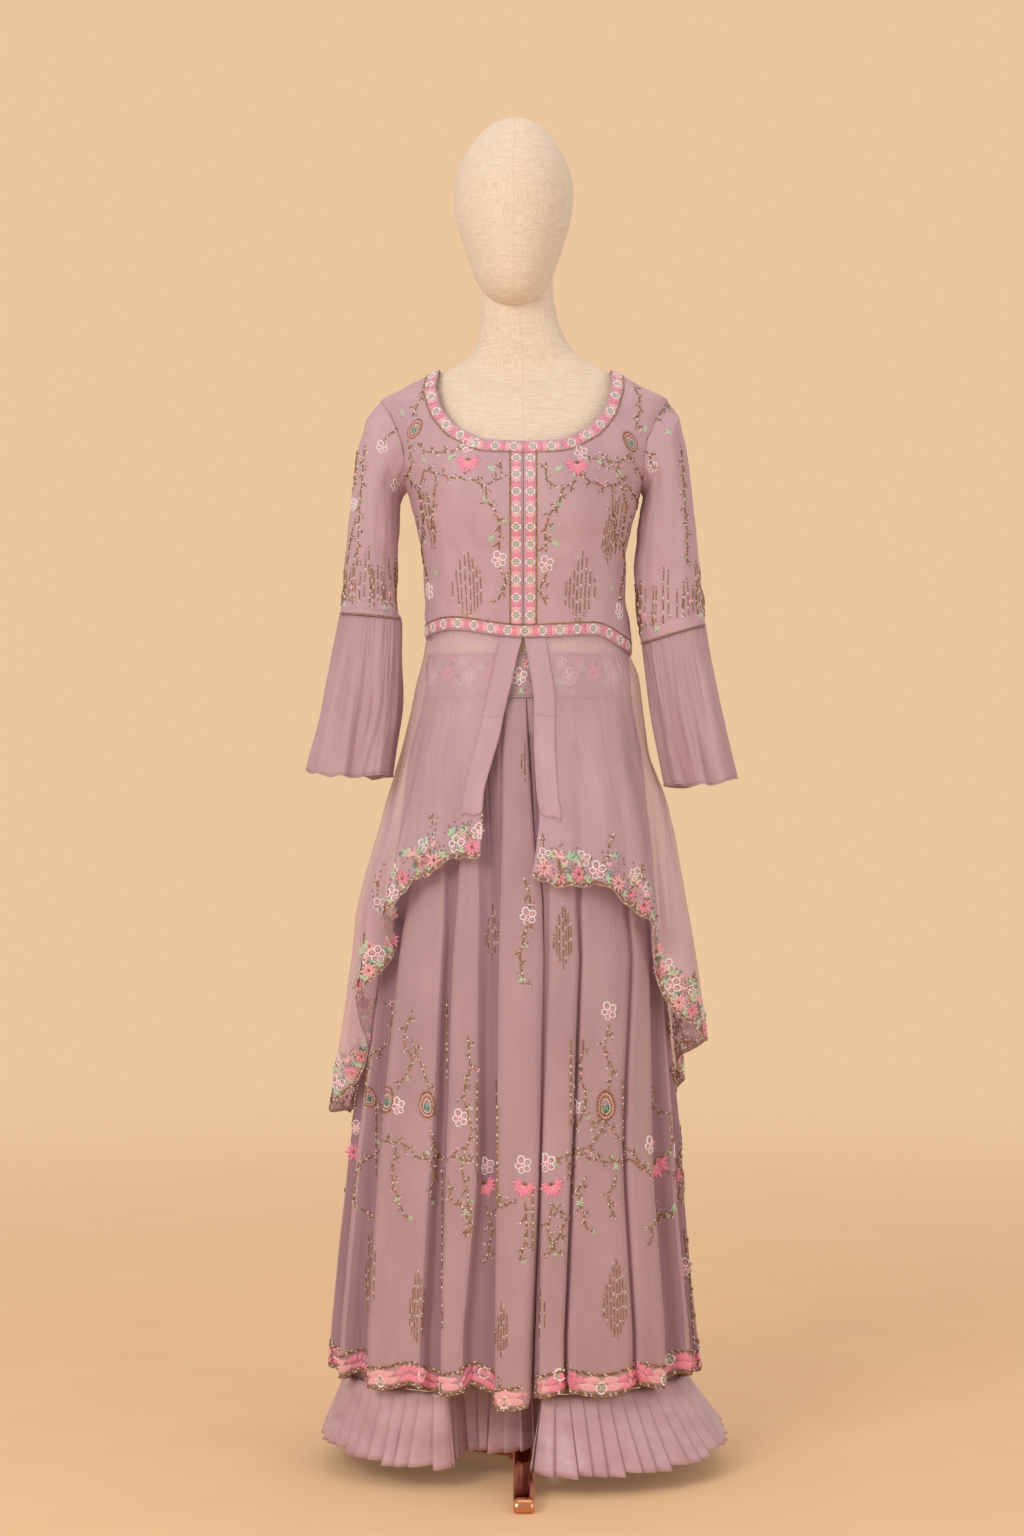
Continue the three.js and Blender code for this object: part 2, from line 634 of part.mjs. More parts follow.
// Folds of the sides and back: four columns each, two of them behind, the first two deepest
const SIDE_FOLDS = 7;
const SIDE_FOLD_BEHIND = [0.95, 1, 0, 0];
const SIDE_SLIT = 1.25;
// The outer half of a leg stops just short of the middle of the back
const HALF_TURN_SHORT = { side: 0.02, last: 0.004 };
const OVERLAY_ROWS = [BELT_BOTTOM_Z - SEAM_GAP, 905, 820, 700, 560, 420, 290, 200, OVERLAY_HEM_Z];
const SCALLOP = { period: 115, height: 15, start: { left: 57, right: 29 } };
const CENTRE_FOLD_DROP = 14;

// The front of a leg is nearly straight, so an x there has an angle of its section
function angleAtX(side, z, x) {
  const width = SKIRT(z, side);
  return angleAtShare(clamp(x / width, 0, 1));
}

// Columns of a leg's outer half: the angle at any height, and the fold there
function outerColumns(side) {
  const folds = FRONT_FOLDS[side];
  const xAt = table(['z', ...folds.map((_, k) => `x${k}`)], FOLD_HEIGHTS.map((z, h) => (
    [z, ...folds.map((fold) => fold.x[h])]
  )));
  const topShare = (k) => (k + 0.5) / (folds.length + 0.5);
  const top = (k) => radians(k === 0 ? CENTRE_TOP[side] : topShare(k) * GATHERED_SPAN);
  const columns = folds.map((fold, k) => ({
    behind: fold.behind,
    kind: 'front',
    angle: (z) => {
      const x = xAt(clamp(z, FOLD_HEIGHTS[2], FOLD_HEIGHTS[0]), `x${k}`);
      const free = Math.sign(x) * angleAtX(side, Math.min(z, FOLD_HEIGHTS[0]), Math.abs(x));
      return mix(free, top(k), smooth(FOLD_HEIGHTS[0], BELT_BOTTOM_Z, z));
    },
  }));
  const lastFront = columns[columns.length - 1];
  const sideColumns = SIDE_FOLDS * SIDE_FOLD_BEHIND.length;
  for (let k = 0; k < sideColumns; k += 1) {
    const share = (k + 1) / (sideColumns + 0.5);
    columns.push({
      behind: SIDE_FOLD_BEHIND[k % SIDE_FOLD_BEHIND.length] * (k < 2 ? SIDE_SLIT : 1),
      kind: 'side',
      angle: (z) => mix(lastFront.angle(z), Math.PI - HALF_TURN_SHORT.side, share),
    });
  }
  columns.push({ behind: 0, kind: 'side', angle: () => Math.PI - HALF_TURN_SHORT.last });
  return columns;
}

// A point of the outer half of an overlay leg
function overlayPoint(side, column, z) {
  const sign = side === 'left' ? 1 : -1;
  const fold = column.behind * FOLD_DEPTH(z, column.kind);
  return keepToSide(onSection(SKIRT, z, sign * column.angle(z), fold), side);
}

// Each leg keeps to its own side of the split
function keepToSide(point, side, inset = 0) {
  const wall = inseamX(side, point.y, point.z, inset);
  point.x = side === 'left' ? Math.max(point.x, wall) : Math.min(point.x, wall);
  return point;
}

const INSEAM_COLUMNS = 5;

// Rows of a leg: the outer half, then the wall between the legs, which starts at the crotch
function legRows(side, heights, outer, inset = 0) {
  return heights.map((z) => {
    const half = outer(z);
    const front = half[0];
    const back = half[half.length - 1];
    const wall = count(INSEAM_COLUMNS - 1).map((k) => {
      const y = mix(back.y, front.y, (k + 1) / INSEAM_COLUMNS);
      return new THREE.Vector3(inseamX(side, y, z, inset), y, z);
    });
    return [...half, ...wall];
  });
}

// The height of the overlay's scalloped hem, by the length of cloth from the front split
function scallopDrop(length) {
  return SCALLOP.height * Math.abs(Math.sin((Math.PI * length) / SCALLOP.period)) ** 0.8;
}

function makeOverlay(name, side) {
  const sign = side === 'left' ? 1 : -1;
  const columns = outerColumns(side);
  const outer = (z) => columns.map((column) => overlayPoint(side, column, z));
  const rows = legRows(side, OVERLAY_ROWS, outer);
  const hem = rows[rows.length - 1];
  let length = SCALLOP.start[side];
  const lengths = hem.map((point, j) => {
    if (j > 0) length += point.distanceTo(hem[j - 1]);
    return length;
  });
  hem.forEach((point, j) => {
    const centreFold = side === 'right' && j < 2 ? CENTRE_FOLD_DROP : 0;
    point.z += SCALLOP.height / 2 - scallopDrop(lengths[j]) - centreFold;
  });
  const crotchRow = OVERLAY_ROWS.indexOf(CROTCH_Z);
  const lastOuter = columns.length - 1;
  const overlay = new Cloth(rows, {
    wall: WALL.overlay,
    turn: sign,
    closed: true,
    present: (i, j) => j < lastOuter || i >= crotchRow,
    flat: (i, j) => [
      ...(i === 0 ? [Z_AXIS] : []),
      ...(i <= crotchRow && (j === 0 || j === lastOuter) ? [X_AXIS] : []),
    ],
  });
  addPiece(name, overlay.solid(), 'georgette');
}

// Lining legs: inside the overlay's folds, and drawn back behind the split on the right leg
const LINING_ROWS = [BELT_BOTTOM_Z - SEAM_GAP, 930, 850, 700, 480, 280, RUFFLE_SEAM_Z];
const LINING_COLUMNS = 16;
const LINING_INSET = table(['z', 'inset'], [
  [118, 24], [280, 22], [480, 20], [700, 15], [850, 9.5], [930, 6], [971, 2.4],
]);
const RECESS = { depth: 62, from: -98, to: -72, top: 420, full: 130 };

function liningPoint(side, share, z) {
  const sign = side === 'left' ? 1 : -1;
  const angle = sign * mix(HALF_TURN_SHORT.side, Math.PI - HALF_TURN_SHORT.side, share);
  const point = onSection(SKIRT, z, angle, LINING_INSET(z, 'inset'));
  if (side === 'right' && point.y < 0) {
    const drawn = smooth(RECESS.from, RECESS.to, point.x) * smooth(RECESS.top, RECESS.full, z);
    point.y += RECESS.depth * drawn;
  }
  return keepToSide(point, side, liningSplit(z));
}

// How far the lining keeps from the overlay at the split
const liningSplit = (z) => 6 * smooth(BELT_BOTTOM_Z, CROTCH_Z, z);

function liningRows(side, heights) {
  return heights.flatMap((z) => (
    legRows(side, [z], () => (
      count(LINING_COLUMNS + 1).map((k) => liningPoint(side, k / LINING_COLUMNS, z))
    ), liningSplit(z))
  ));
}

function makeLining(name, side) {
  const sign = side === 'left' ? 1 : -1;
  const rows = liningRows(side, LINING_ROWS);
  const crotchRow = LINING_ROWS.indexOf(CROTCH_Z);
  const lining = new Cloth(rows, {
    wall: WALL.lining,
    turn: sign,
    closed: true,
    present: (i, j) => j < LINING_COLUMNS || i >= crotchRow,
    flat: (i, j) => [
      ...(i === 0 || i === rows.length - 1 ? [Z_AXIS] : []),
      ...(i <= crotchRow && (j === 0 || j === LINING_COLUMNS) ? [X_AXIS] : []),
    ],
  });
  addPiece(name, lining.solid(), 'lining');
}

// Ruffles: knife pleats from the lining's lower edge to the hem
const PLEATS = 46;
const PLEAT_STEP_SHARE = 0.86;
const PLEAT_HEIGHT = { seam: 2, hem: 7 };
const RUFFLE_HEM = table(['y', 'z'], [[-200, 26], [-120, 30], [-60, 38], [60, 42], [240, 58]]);
// How far the hem stands out from the seam, by the direction in which the cloth faces
const FLARE = {
  left: { out: 46, front: 30, back: 18, inner: 1.6 },
  right: { out: 24, front: 12, back: 19, inner: 2 },
};

// The hem hangs straight where the front of the right leg is drawn back, and pleats lie
// flatter along the inner leg
const STRAIGHT_HEM = { x: -110, y: -110, reach: 3 };
const INNER_LEG = { facing: -0.6, seam: 1, hem: 2.5 };
const CORNER_SHARE = 0.02;

// The point at a length along a closed outline, and the direction out of it
function alongOutline(points, share) {
  const total = points.reduce((sum, point, k) => (
    sum + point.distanceTo(points[(k + 1) % points.length])
  ), 0);
  let left = ((share % 1) + 1) % 1 * total;
  let k = 0;
  while (left > points[k].distanceTo(points[(k + 1) % points.length])) {
    left -= points[k].distanceTo(points[(k + 1) % points.length]);
    k += 1;
  }
  const next = points[(k + 1) % points.length];
  const along = next.clone().sub(points[k]).normalize();
  return { point: points[k].clone().addScaledVector(along, left), along };
}

function makeRuffle(name, side) {
  const sign = side === 'left' ? 1 : -1;
  const seam = liningRows(side, [RUFFLE_SEAM_Z])[0];
  const flare = FLARE[side];
  const columns = count(2 * PLEATS).map((k) => {
    const pleat = Math.floor(k / 2);
    const raised = k % 2;
    const share = (pleat + raised * PLEAT_STEP_SHARE) / PLEATS;
    const { point, along } = alongOutline(seam, share);
    const before = alongOutline(seam, share - CORNER_SHARE).along;
    const after = alongOutline(seam, share + CORNER_SHARE).along;
    const mean = before.add(after).add(along).normalize();
    const out = new THREE.Vector3(mean.y * sign, -mean.x * sign, 0);
    const sideways = Math.max(out.x * sign, 0) * flare.out + Math.max(-out.x * sign, 0) * flare.inner;
    const forwards = Math.max(-out.y, 0) * flare.front + Math.max(out.y, 0) * flare.back;
    const recessed = side === 'right' && point.x > STRAIGHT_HEM.x
      && point.y > STRAIGHT_HEM.y && point.y < 0;
    const reach = recessed ? STRAIGHT_HEM.reach : sideways + forwards;
    const { seam: seamHeight, hem: hemHeight } = out.x * sign < INNER_LEG.facing
      ? INNER_LEG : PLEAT_HEIGHT;
    const top = point.clone().addScaledVector(out, raised * seamHeight);
    top.z = RUFFLE_SEAM_Z - SEAM_GAP;
    const hem = point.clone().addScaledVector(out, reach + raised * hemHeight);
    hem.z = RUFFLE_HEM(hem.y, 'z');
    return [top, hem];
  });
  const rows = [0, 1].map((i) => columns.map((column) => column[i]));
  const ruffle = new Cloth(rows, {
    wall: WALL.ruffle, turn: sign, closed: true, flat: () => [Z_AXIS],
  });
  addPiece(name, ruffle.solid(), 'pleated');
}

// Dress form. Head and torso are lofts through rings: the half width and depth, and the centre.
const HEAD = table(['z', 'width', 'depth', 'x', 'y'], [
  [1709, 8, 10, -11, 2], [1705, 21, 26, -11, 2], [1694, 36, 46, -11, 1], [1669, 58, 74, -11, 0],
  [1643, 71, 90, -12, -2], [1615, 76, 96, -12, -4], [1590, 74.5, 94, -12, -7],
  [1560, 68, 88, -12, -11], [1523, 56, 76, -12, -16], [1497, 46, 62, -12, -22],
  [1480, 34, 45, -12, -28], [1470, 20, 26, -12, -32], [1467, 10, 13, -12, -33],
]);
const HEAD_RINGS = [1709, 1705, 1694, 1669, 1643, 1615, 1590, 1560, 1523, 1497, 1480, 1470, 1467];
const TORSO_BOTTOM_Z = 800;
const TORSO = table(['z', 'left', 'right', 'front', 'back', 'centre'], [
  [800, 84, 80, 66, 66, 0], [812, 104, 98, 78, 80, 0], [850, 128, 122, 92, 94, 0],
  [900, 134, 127, 94, 96, 0], [940, 133, 122, 92, 92, 0], [971, 131, 119, 91, 87, 0],
  [1027, 129.4, 116.4, 89.4, 79.4, 0], [1060, 124, 115, 87, 74, 0], [1100, 120, 115, 92, 75, 0],
  [1150, 120, 117, 99, 78, 0], [1200, 129, 126, 109, 81, 0], [1240, 138, 135, 107, 85, 1],
  [1290, 143, 140, 91, 87, 4], [1320, 150, 147, 79, 84, 6], [1345, 158.5, 154.6, 63.4, 75.9, 8],
  [1358, 152, 148.3, 55, 67.9, 9], [1372, 136, 132.3, 45.8, 56.9, 10], [1392, 99, 93, 40, 45, 12],
  [1410, 70, 66, 42, 47, 12], [1425, 59, 57, 44, 50, 11], [1450, 50, 50, 44, 49, 9],
  [1480, 46, 46, 44, 48, 6], [1520, 44, 44, 42, 45, 2],
]);
const TORSO_RINGS = [
  800, 812, 850, 900, 940, 971, 1027, 1060, 1100, 1150, 1200, 1240, 1290, 1320, 1345, 1358,
  1372, 1392, 1410, 1425, 1450, 1480, 1520,
];
const FORM_COLUMNS = 24;
const NECK_CLEARANCE = 0.4;

// A closed solid through rings of points, top ring first, with a flat cap at each end
function loft(rings) {
  const columns = rings[0].length;
  const positions = rings.flat().flatMap((point) => [point.x, point.y, point.z]);
  const index = [];
  for (let i = 0; i < rings.length - 1; i += 1) {
    for (let j = 0; j < columns; j += 1) {
      const next = (j + 1) % columns;
      const a = i * columns + j;
      const b = i * columns + next;
      const c = (i + 1) * columns + next;
      const d = (i + 1) * columns + j;
      index.push(a, d, c, a, c, b);
    }
  }
  const base = (rings.length - 1) * columns;
  for (let j = 1; j < columns - 1; j += 1) {
    index.push(0, j, j + 1);
    index.push(base, base + j + 1, base + j);
  }
  return geometryOf(positions, index);
}

const headRing = (z) => count(FORM_COLUMNS).map((j) => {
  const angle = (j / FORM_COLUMNS) * TURN;
  return new THREE.Vector3(
    HEAD(z, 'x') + HEAD(z, 'width') * Math.sin(angle),
    HEAD(z, 'y') - HEAD(z, 'depth') * Math.cos(angle),
    z,
  );
});
const torsoRing = (z, grow = 0) => count(FORM_COLUMNS).map((j) => (
  onSection(TORSO, z, (j / FORM_COLUMNS) * TURN, -grow).add(
    new THREE.Vector3(-7 * smooth(1395, 1490, z), 0, 0),
  )
));

async function makeForm() {
  const wasm = await Module();
  wasm.setup();
  const toSolid = (geometry) => new wasm.Manifold(new wasm.Mesh({
    numProp: 3,
    vertProperties: geometry.getAttribute('position').array,
    triVerts: new Uint32Array(geometry.getIndex().array),
  }));
  const neckHeights = TORSO_RINGS.filter((z) => z >= 1425).reverse();
  const neck = loft(neckHeights.map((z, k) => {
    const ring = torsoRing(z, NECK_CLEARANCE);
    if (k === 0) ring.forEach((point) => point.setZ(z + NECK_CLEARANCE));
    return ring;
  }));
  const head = toSolid(loft(HEAD_RINGS.map(headRing))).subtract(toSolid(neck)).getMesh();
  addPiece('form_head', geometryOf([...head.vertProperties], [...head.triVerts]), 'linen');
  addPiece('form_torso', loft([...TORSO_RINGS].reverse().map((z) => torsoRing(z))), 'linen');
}

// Stand: a pole from the torso to a hub, and three low feet
const POLE_RADIUS = 13;
const HUB = { radius: 18, top: 52, bottom: 8 };
const FOOT_WIDTH = 25;
const STAND_GAP = 0.3;
const FOOT_PROFILE = [
  [18.6, 9], [140, 8], [206, 2], [210, 0], [241, 0], [246, 3], [247, 8], [245, 13], [240, 17],
  [228, 20], [140, 27], [60, 30], [18.6, 31],
];

function makeStand() {
  const poleLength = TORSO_BOTTOM_Z - HUB.top - 2 * STAND_GAP;
  const pole = new THREE.CylinderGeometry(POLE_RADIUS, POLE_RADIUS, poleLength, 20);
  pole.rotateX(RIGHT_ANGLE);
  const poleMesh = addPiece('stand_pole', weld(pole), 'roseGold');
  poleMesh.position.z = HUB.top + STAND_GAP + poleLength / 2;
  const hub = new THREE.CylinderGeometry(HUB.radius, HUB.radius, HUB.top - HUB.bottom, 24);
  hub.rotateX(RIGHT_ANGLE);
  const hubMesh = addPiece('stand_hub', weld(hub), 'roseGold');
  hubMesh.position.z = (HUB.top + HUB.bottom) / 2;
  const outline = new THREE.Shape(FOOT_PROFILE.map(([reach, z]) => new THREE.Vector2(reach, z)));
  [['stand_foot_front', 0], ['stand_foot_left', 120], ['stand_foot_right', -120]].forEach(
    ([name, degrees]) => {
      const foot = new THREE.ExtrudeGeometry(outline, { depth: FOOT_WIDTH, bevelEnabled: false });
      foot.translate(0, 0, -FOOT_WIDTH / 2);
      foot.rotateX(RIGHT_ANGLE);
      foot.rotateZ(-RIGHT_ANGLE);
      const mesh = addPiece(name, weld(foot), 'roseGold');
      mesh.rotation.z = radians(degrees);
    },
  );
}

// Joins the points of a geometry that lie in one place
function weld(geometry) {
  const source = geometry.getAttribute('position');
  const order = geometry.getIndex() ? [...geometry.getIndex().array] : count(source.count);
  const places = new Map();
  const positions = [];
  const index = order.map((vertex) => {
    const point = [source.getX(vertex), source.getY(vertex), source.getZ(vertex)];
    const key = point.map((value) => Math.round(value * 1e4)).join();
    if (!places.has(key)) {
      places.set(key, positions.length / 3);
      positions.push(...point);
    }
    return places.get(key);
  });
  const faces = [];
  for (let k = 0; k < index.length; k += 3) {
    const [a, b, c] = index.slice(k, k + 3);
    if (a !== b && b !== c && a !== c) faces.push(a, b, c);
  }
  return geometryOf(positions, faces);
}

await makeForm();
makeStand();
makeBodice();
makePeplum();
makeBelt();
['left', 'right'].forEach((side) => {
  makeSleeve(`sleeve_${side}`, side);
  makeFlounce(`flounce_${side}`, side);
  makeOverlay(`overlay_${side}`, side);
  makeLining(`leg_${side}`, side);
  makeRuffle(`ruffle_${side}`, side);
});

export default object;
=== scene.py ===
import json

import bpy
import numpy as np
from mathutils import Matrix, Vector, noise
from mathutils.bvhtree import BVHTree

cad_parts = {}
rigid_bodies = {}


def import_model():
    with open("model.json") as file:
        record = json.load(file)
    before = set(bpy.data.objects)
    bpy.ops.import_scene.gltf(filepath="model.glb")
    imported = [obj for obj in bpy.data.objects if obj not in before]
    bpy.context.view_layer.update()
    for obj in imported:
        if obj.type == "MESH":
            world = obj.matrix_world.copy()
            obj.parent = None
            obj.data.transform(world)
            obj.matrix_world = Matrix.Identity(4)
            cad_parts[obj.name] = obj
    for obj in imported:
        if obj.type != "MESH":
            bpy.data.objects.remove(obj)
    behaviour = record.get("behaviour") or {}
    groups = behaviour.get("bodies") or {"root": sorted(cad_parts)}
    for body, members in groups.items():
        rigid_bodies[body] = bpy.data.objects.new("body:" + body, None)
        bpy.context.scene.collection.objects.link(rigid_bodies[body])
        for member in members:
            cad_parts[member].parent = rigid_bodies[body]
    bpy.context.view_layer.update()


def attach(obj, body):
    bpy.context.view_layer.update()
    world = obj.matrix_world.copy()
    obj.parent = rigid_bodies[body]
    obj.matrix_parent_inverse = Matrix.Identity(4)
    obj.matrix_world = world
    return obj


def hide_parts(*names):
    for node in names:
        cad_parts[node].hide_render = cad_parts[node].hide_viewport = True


# A beaded sharara set on a dress form without limbs. Tables and cloth are worked out in
# millimetres, with +Z up, the front towards -Y and the wearer's left towards +X, and every
# mesh is written in metres. Angles round the body start at the front and grow towards +X.

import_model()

MM = 0.001
TURN = 2 * np.pi
SEAM_GAP = 0.4
UNDERARM_Z = 1235
SHOULDER_TIP_Z = 1351
NECK_POINT_Z = 1392
FRONT_NECK_Z = 1288
BACK_NECK_Z = 1352
BELT_TOP_Z = 1027
BELT_BOTTOM_Z = 971
CROTCH_Z = 700
OVERLAY_HEM_Z = 124
RUFFLE_SEAM_Z = 118
ROUNDNESS = 0.95

# The camera of the photograph: level, and in front of the form. One pixel of its 1024 x 1536
# spans so many millimetres at the form's middle.
CAMERA_AT = np.array([-14.0, -3600.0, 884.0])
MM_PER_PIXEL = 1.27
LENS_MM = 66.4
SENSOR_MM = 36.0
PHOTO_CENTRE = (512.0, 768.0)


# Small sums

def mix(a, b, t):
    """The value a share of the way from a to b."""
    return a + (b - a) * t


def smooth(start, end, value):
    """0 at start and before it, 1 at end and past it, and eased between them."""
    t = np.clip((np.asarray(value, float) - start) / (end - start), 0, 1)
    return t * t * (3 - 2 * t)


def unit(vectors):
    """Each vector at length 1."""
    return vectors / np.maximum(np.linalg.norm(vectors, axis=-1, keepdims=True), 1e-9)


def lengths_along(path):
    """How far along a path each of its points lies."""
    return np.concatenate([[0], np.cumsum(np.linalg.norm(np.diff(path, axis=0), axis=1))])


def point_at(path, ends, spot):
    """The point or points of a path at a length along it."""
    return np.stack([np.interp(spot, ends, path[:, k]) for k in range(path.shape[1])], -1)


def way_at(path, ends, spot, reach):
    """The direction of a path at a length along it."""
    return unit(point_at(path, ends, spot + reach) - point_at(path, ends, spot - reach))


def ring_angles(columns):
    """The angles of the columns of a closed ring, as one row."""
    return np.linspace(0, TURN, columns, endpoint=False)[None, :]


def spread(*parts):
    """Points from their X, Y and Z, each a number or a grid of them."""
    return np.stack(np.broadcast_arrays(*parts), -1)


class Sizes:
    """A table of sizes, read at any key on curves that never overshoot its rows."""

    def __init__(self, names, rows):
        rows = sorted(rows)
        self.keys = np.array([row[0] for row in rows], float)
        self.columns = {}
        for k, name in enumerate(names[1:], 1):
            values = np.array([row[k] for row in rows], float)
            rise = np.diff(values) / np.diff(self.keys)
            slope = np.zeros(len(values))
            slope[0], slope[-1] = rise[0], rise[-1]
            product, total = rise[:-1] * rise[1:], rise[:-1] + rise[1:]
            slope[1:-1] = np.where(product > 0, 2 * product / np.where(total == 0, 1, total), 0)
            self.columns[name] = (values, slope)

    def __call__(self, key, name):
        values, slope = self.columns[name]
        key = np.clip(np.asarray(key, float), self.keys[0], self.keys[-1])
        k = np.clip(np.searchsorted(self.keys, key, side="right") - 1, 0, len(self.keys) - 2)
        width = self.keys[k + 1] - self.keys[k]
        t = (key - self.keys[k]) / width
        start = values[k] + slope[k] * width * t * (1 - t) ** 2
        end = values[k + 1] - slope[k + 1] * width * (1 - t) * t * t
        return mix(start, end, t * t * (3 - 2 * t))


# Sizes of the garment

SIDES = ["z", "left", "right", "front", "back", "centre"]
BODICE = Sizes(SIDES, [
    [1024, 136.5, 122, 96, 85, 0], [1047, 137, 123, 96, 84, 0], [1100, 130, 125, 101, 84, 0],
    [1148, 130, 127, 109, 87, 0], [1200, 140, 137, 121, 90, 0], [1240, 151, 149, 119, 94, 1],
    [1300, 173, 170, 99, 98, 4], [1351, 184, 180, 76, 92, 8], [1372, 148, 144, 65, 78, 10],
    [1392, 112, 106, 55, 62, 12],
])
PEPLUM = Sizes(SIDES, [
    [440, 243, 248, 190, 232, 8], [550, 236, 232, 180, 222, 6], [650, 222, 218, 167, 204, 4],
    [700, 213, 213, 160, 192, 3], [750, 204, 201, 152, 178, 2], [800, 195, 186, 144, 164, 1],
    [850, 182, 172, 134, 148, 0], [900, 162, 157, 122, 132, 0], [950, 154, 144, 110, 116, 0],
    [1000, 147, 133, 104, 101, 0], [1022, 140, 127, 100, 92, 0], [1047, 137, 123, 96, 84, 0],
])
SKIRT = Sizes(SIDES, [
    [100, 230, 250, 186, 206, 24], [190, 220, 243, 182, 202, 22], [300, 209, 232, 176, 194, 20],
    [430, 200, 217, 166, 184, 16], [600, 181, 193, 152, 166, 10], [700, 172, 176, 141, 150, 6],
    [800, 163, 158, 127, 134, 3], [900, 151, 145, 111, 112, 0], [971, 138, 126, 98, 94, 0],
    [1027, 133, 120, 93, 83, 0],
])
WAIST_SEAM = Sizes(["degrees", "z"], [
    [-180, 1040], [-90, 1047], [-45, 1056], [0, 1045], [40, 1049], [65, 1034], [90, 1025],
    [130, 1032], [180, 1040],
])
ARMHOLE = Sizes(["z", "front", "back"], [
    [1235, 1, 1], [1254, 0.965, 0.975], [1274, 0.925, 0.955], [1296, 0.905, 0.945],
    [1318, 0.925, 0.955], [1337, 0.96, 0.975], [1351, 1, 1],
])
NECKLINE = Sizes(["share", "frontX", "frontZ", "backX", "backZ"], [
    [0, 0, FRONT_NECK_Z, 0, BACK_NECK_Z], [0.2, 46, 1291, 52, 1354], [0.4, 83, 1310, 76, 1362],
    [0.6, 102, 1335, 92, 1371], [0.8, 110, 1363, 104, 1382],
])
NECK_START = {"front": 7 / 12, "back": 9 / 12}
SLEEVES = {
    "left": [
        [199, 1330, 153, 1229, 50, 8], [208.5, 1290, 151, 1218, 49, 5],
        [216.5, 1225, 146, 1190, 47, 0], [223, 1160, 141, 1140, 44, -5],
        [229, 1100, 142, 1085, 42, -10], [231, 1064, 150, 1040, 42, -12],
    ],
    "right": [
        [-199, 1328, -153, 1229, 50, 8], [-211, 1288, -156, 1218, 49, 5],
        [-219, 1225, -157, 1190, 47, 0], [-225.5, 1160, -159, 1140, 44, -5],
        [-230, 1100, -158, 1088, 42, -10], [-232, 1078, -154, 1071, 42, -12],
    ],
}
FLOUNCES = {
    "left": [
        [232, 1063.4, 150, 1039.4, 43, -12], [251, 965, 161, 950, 60, -18],
        [272, 878, 178, 866, 72, -24],
    ],
    "right": [
        [-233, 1077, -152, 1070, 43, -12], [-254, 975, -151, 975, 62, -14],
        [-274, 886, -164, 878, 72, -24],
    ],
}
PEPLUM_HEM = Sizes(["degrees", "left", "right"], [
    [0, 752, 776], [14, 740, 774], [26, 742, 753], [36, 716, 748], [46, 694, 722],
    [53, 670, 700], [59, 614, 655], [66, 570, 596], [74, 545, 512], [84, 541, 452],
    [92, 540, 446], [100, 528, 444], [112, 490, 442], [124, 462, 441], [150, 442, 439],
    [180, 437, 437],
])
PEPLUM_EDGE = Sizes(["z", "left", "right"], [
    [1047, 1.5, 1.5], [967, 13, 20], [918, 13, 31], [857, 16, 48], [826, 20, 51], [752, 11, 54],
])
FLUTE_DEPTH = Sizes(["z", "depth"], [
    [440, 26], [550, 32], [650, 32], [700, 27], [750, 21], [800, 14], [850, 8], [900, 3],
    [960, 0],
])
FLUTES = {
    "left": [(46, 13), (72, 13), (96, 12), (120, 12), (143, 12), (166, 11)],
    "right": [(53, 7), (66, 7), (84, 9), (104, 10), (125, 11), (147, 11), (169, 11)],
}
# Degrees from the front at which the peplum's fronts end and its back starts
FRONT_END = 94.85
BACK_START = 95.0
# The peplum's first columns, up to this many degrees, span the width of a facing
FACING_DEGREES = 10
FACING_WIDTH = 26
# The facing ends, and a seam crosses it, at a share of the rows of the peplum's front edge
FACING_END = {"left": 0.735, "right": 0.8}
FACING_SEAM = {"left": 0.29, "right": 0.33}
# Which way X grows on each side of the wearer
SIGN = {"left": 1, "right": -1}
# How thick each cloth is drawn
THICK = {
    "bodice": 1.1, "sleeve": 1.0, "flounce": 0.5, "peplum": 0.5, "facing": 0.9, "belt": 2.2,
    "overlay": 0.9, "lining": 0.8, "ruffle": 0.7,
}
# Radii of the cords: a rolled hem, a run of stitches, the belt's piping and the form's seams
ROLLED_HEM = 0.9
STITCHING = 0.22
PIPING = 1.3
FORM_SEAM = 0.35
SPLIT_X = Sizes(["z", "x"], [[120, 10], [420, 18], [650, 19], [971, 4]])
INSEAM_GAP = Sizes(["z", "gap"], [[130, 5], [420, 1.6], [700, 0.4]])
# x of each fold edge at heights 650, 420 and 190, and how far behind the outside it lies
FRONT_FOLDS = {
    "left": [
        [10, 8, 2, 0.7], [24, 20, 16, 0.7], [35, 25, 20, 0], [68, 59, 49, 0],
        [70, 61, 51, 0.6], [75, 66, 56, 0], [103, 94, 95, 0], [132, 122, 134, 0],
        [135, 125, 137, 0.6], [140, 130, 142, 0], [158, 160, 176, 0],
    ],
    "right": [
        [-24, -20, -5, 0], [30, 33, 35, 0], [36, 39, 41, 1], [42, 50, 67, 1],
        [56, 56, 74, 0], [87, 94, 101, 0], [91, 99, 106, 1], [96, 107, 121, 1],
        [101, 113, 127, 0], [128, 146, 161, 0], [155, 177, 193, 0],
    ],
}
CENTRE_TOP = {"left": 1, "right": -3}
FOLD_DEPTH = Sizes(["z", "front", "side"], [
    [120, 18, 18], [420, 16, 16], [650, 11.5, 11.5], [800, 6.5, 6.5], [900, 3, 3], [971, 0, 0],
])
SCALLOP_PERIOD = 115
SCALLOP_HEIGHT = 15
SCALLOP_START = {"left": 57, "right": 29}
CENTRE_FOLD_DROP = 14
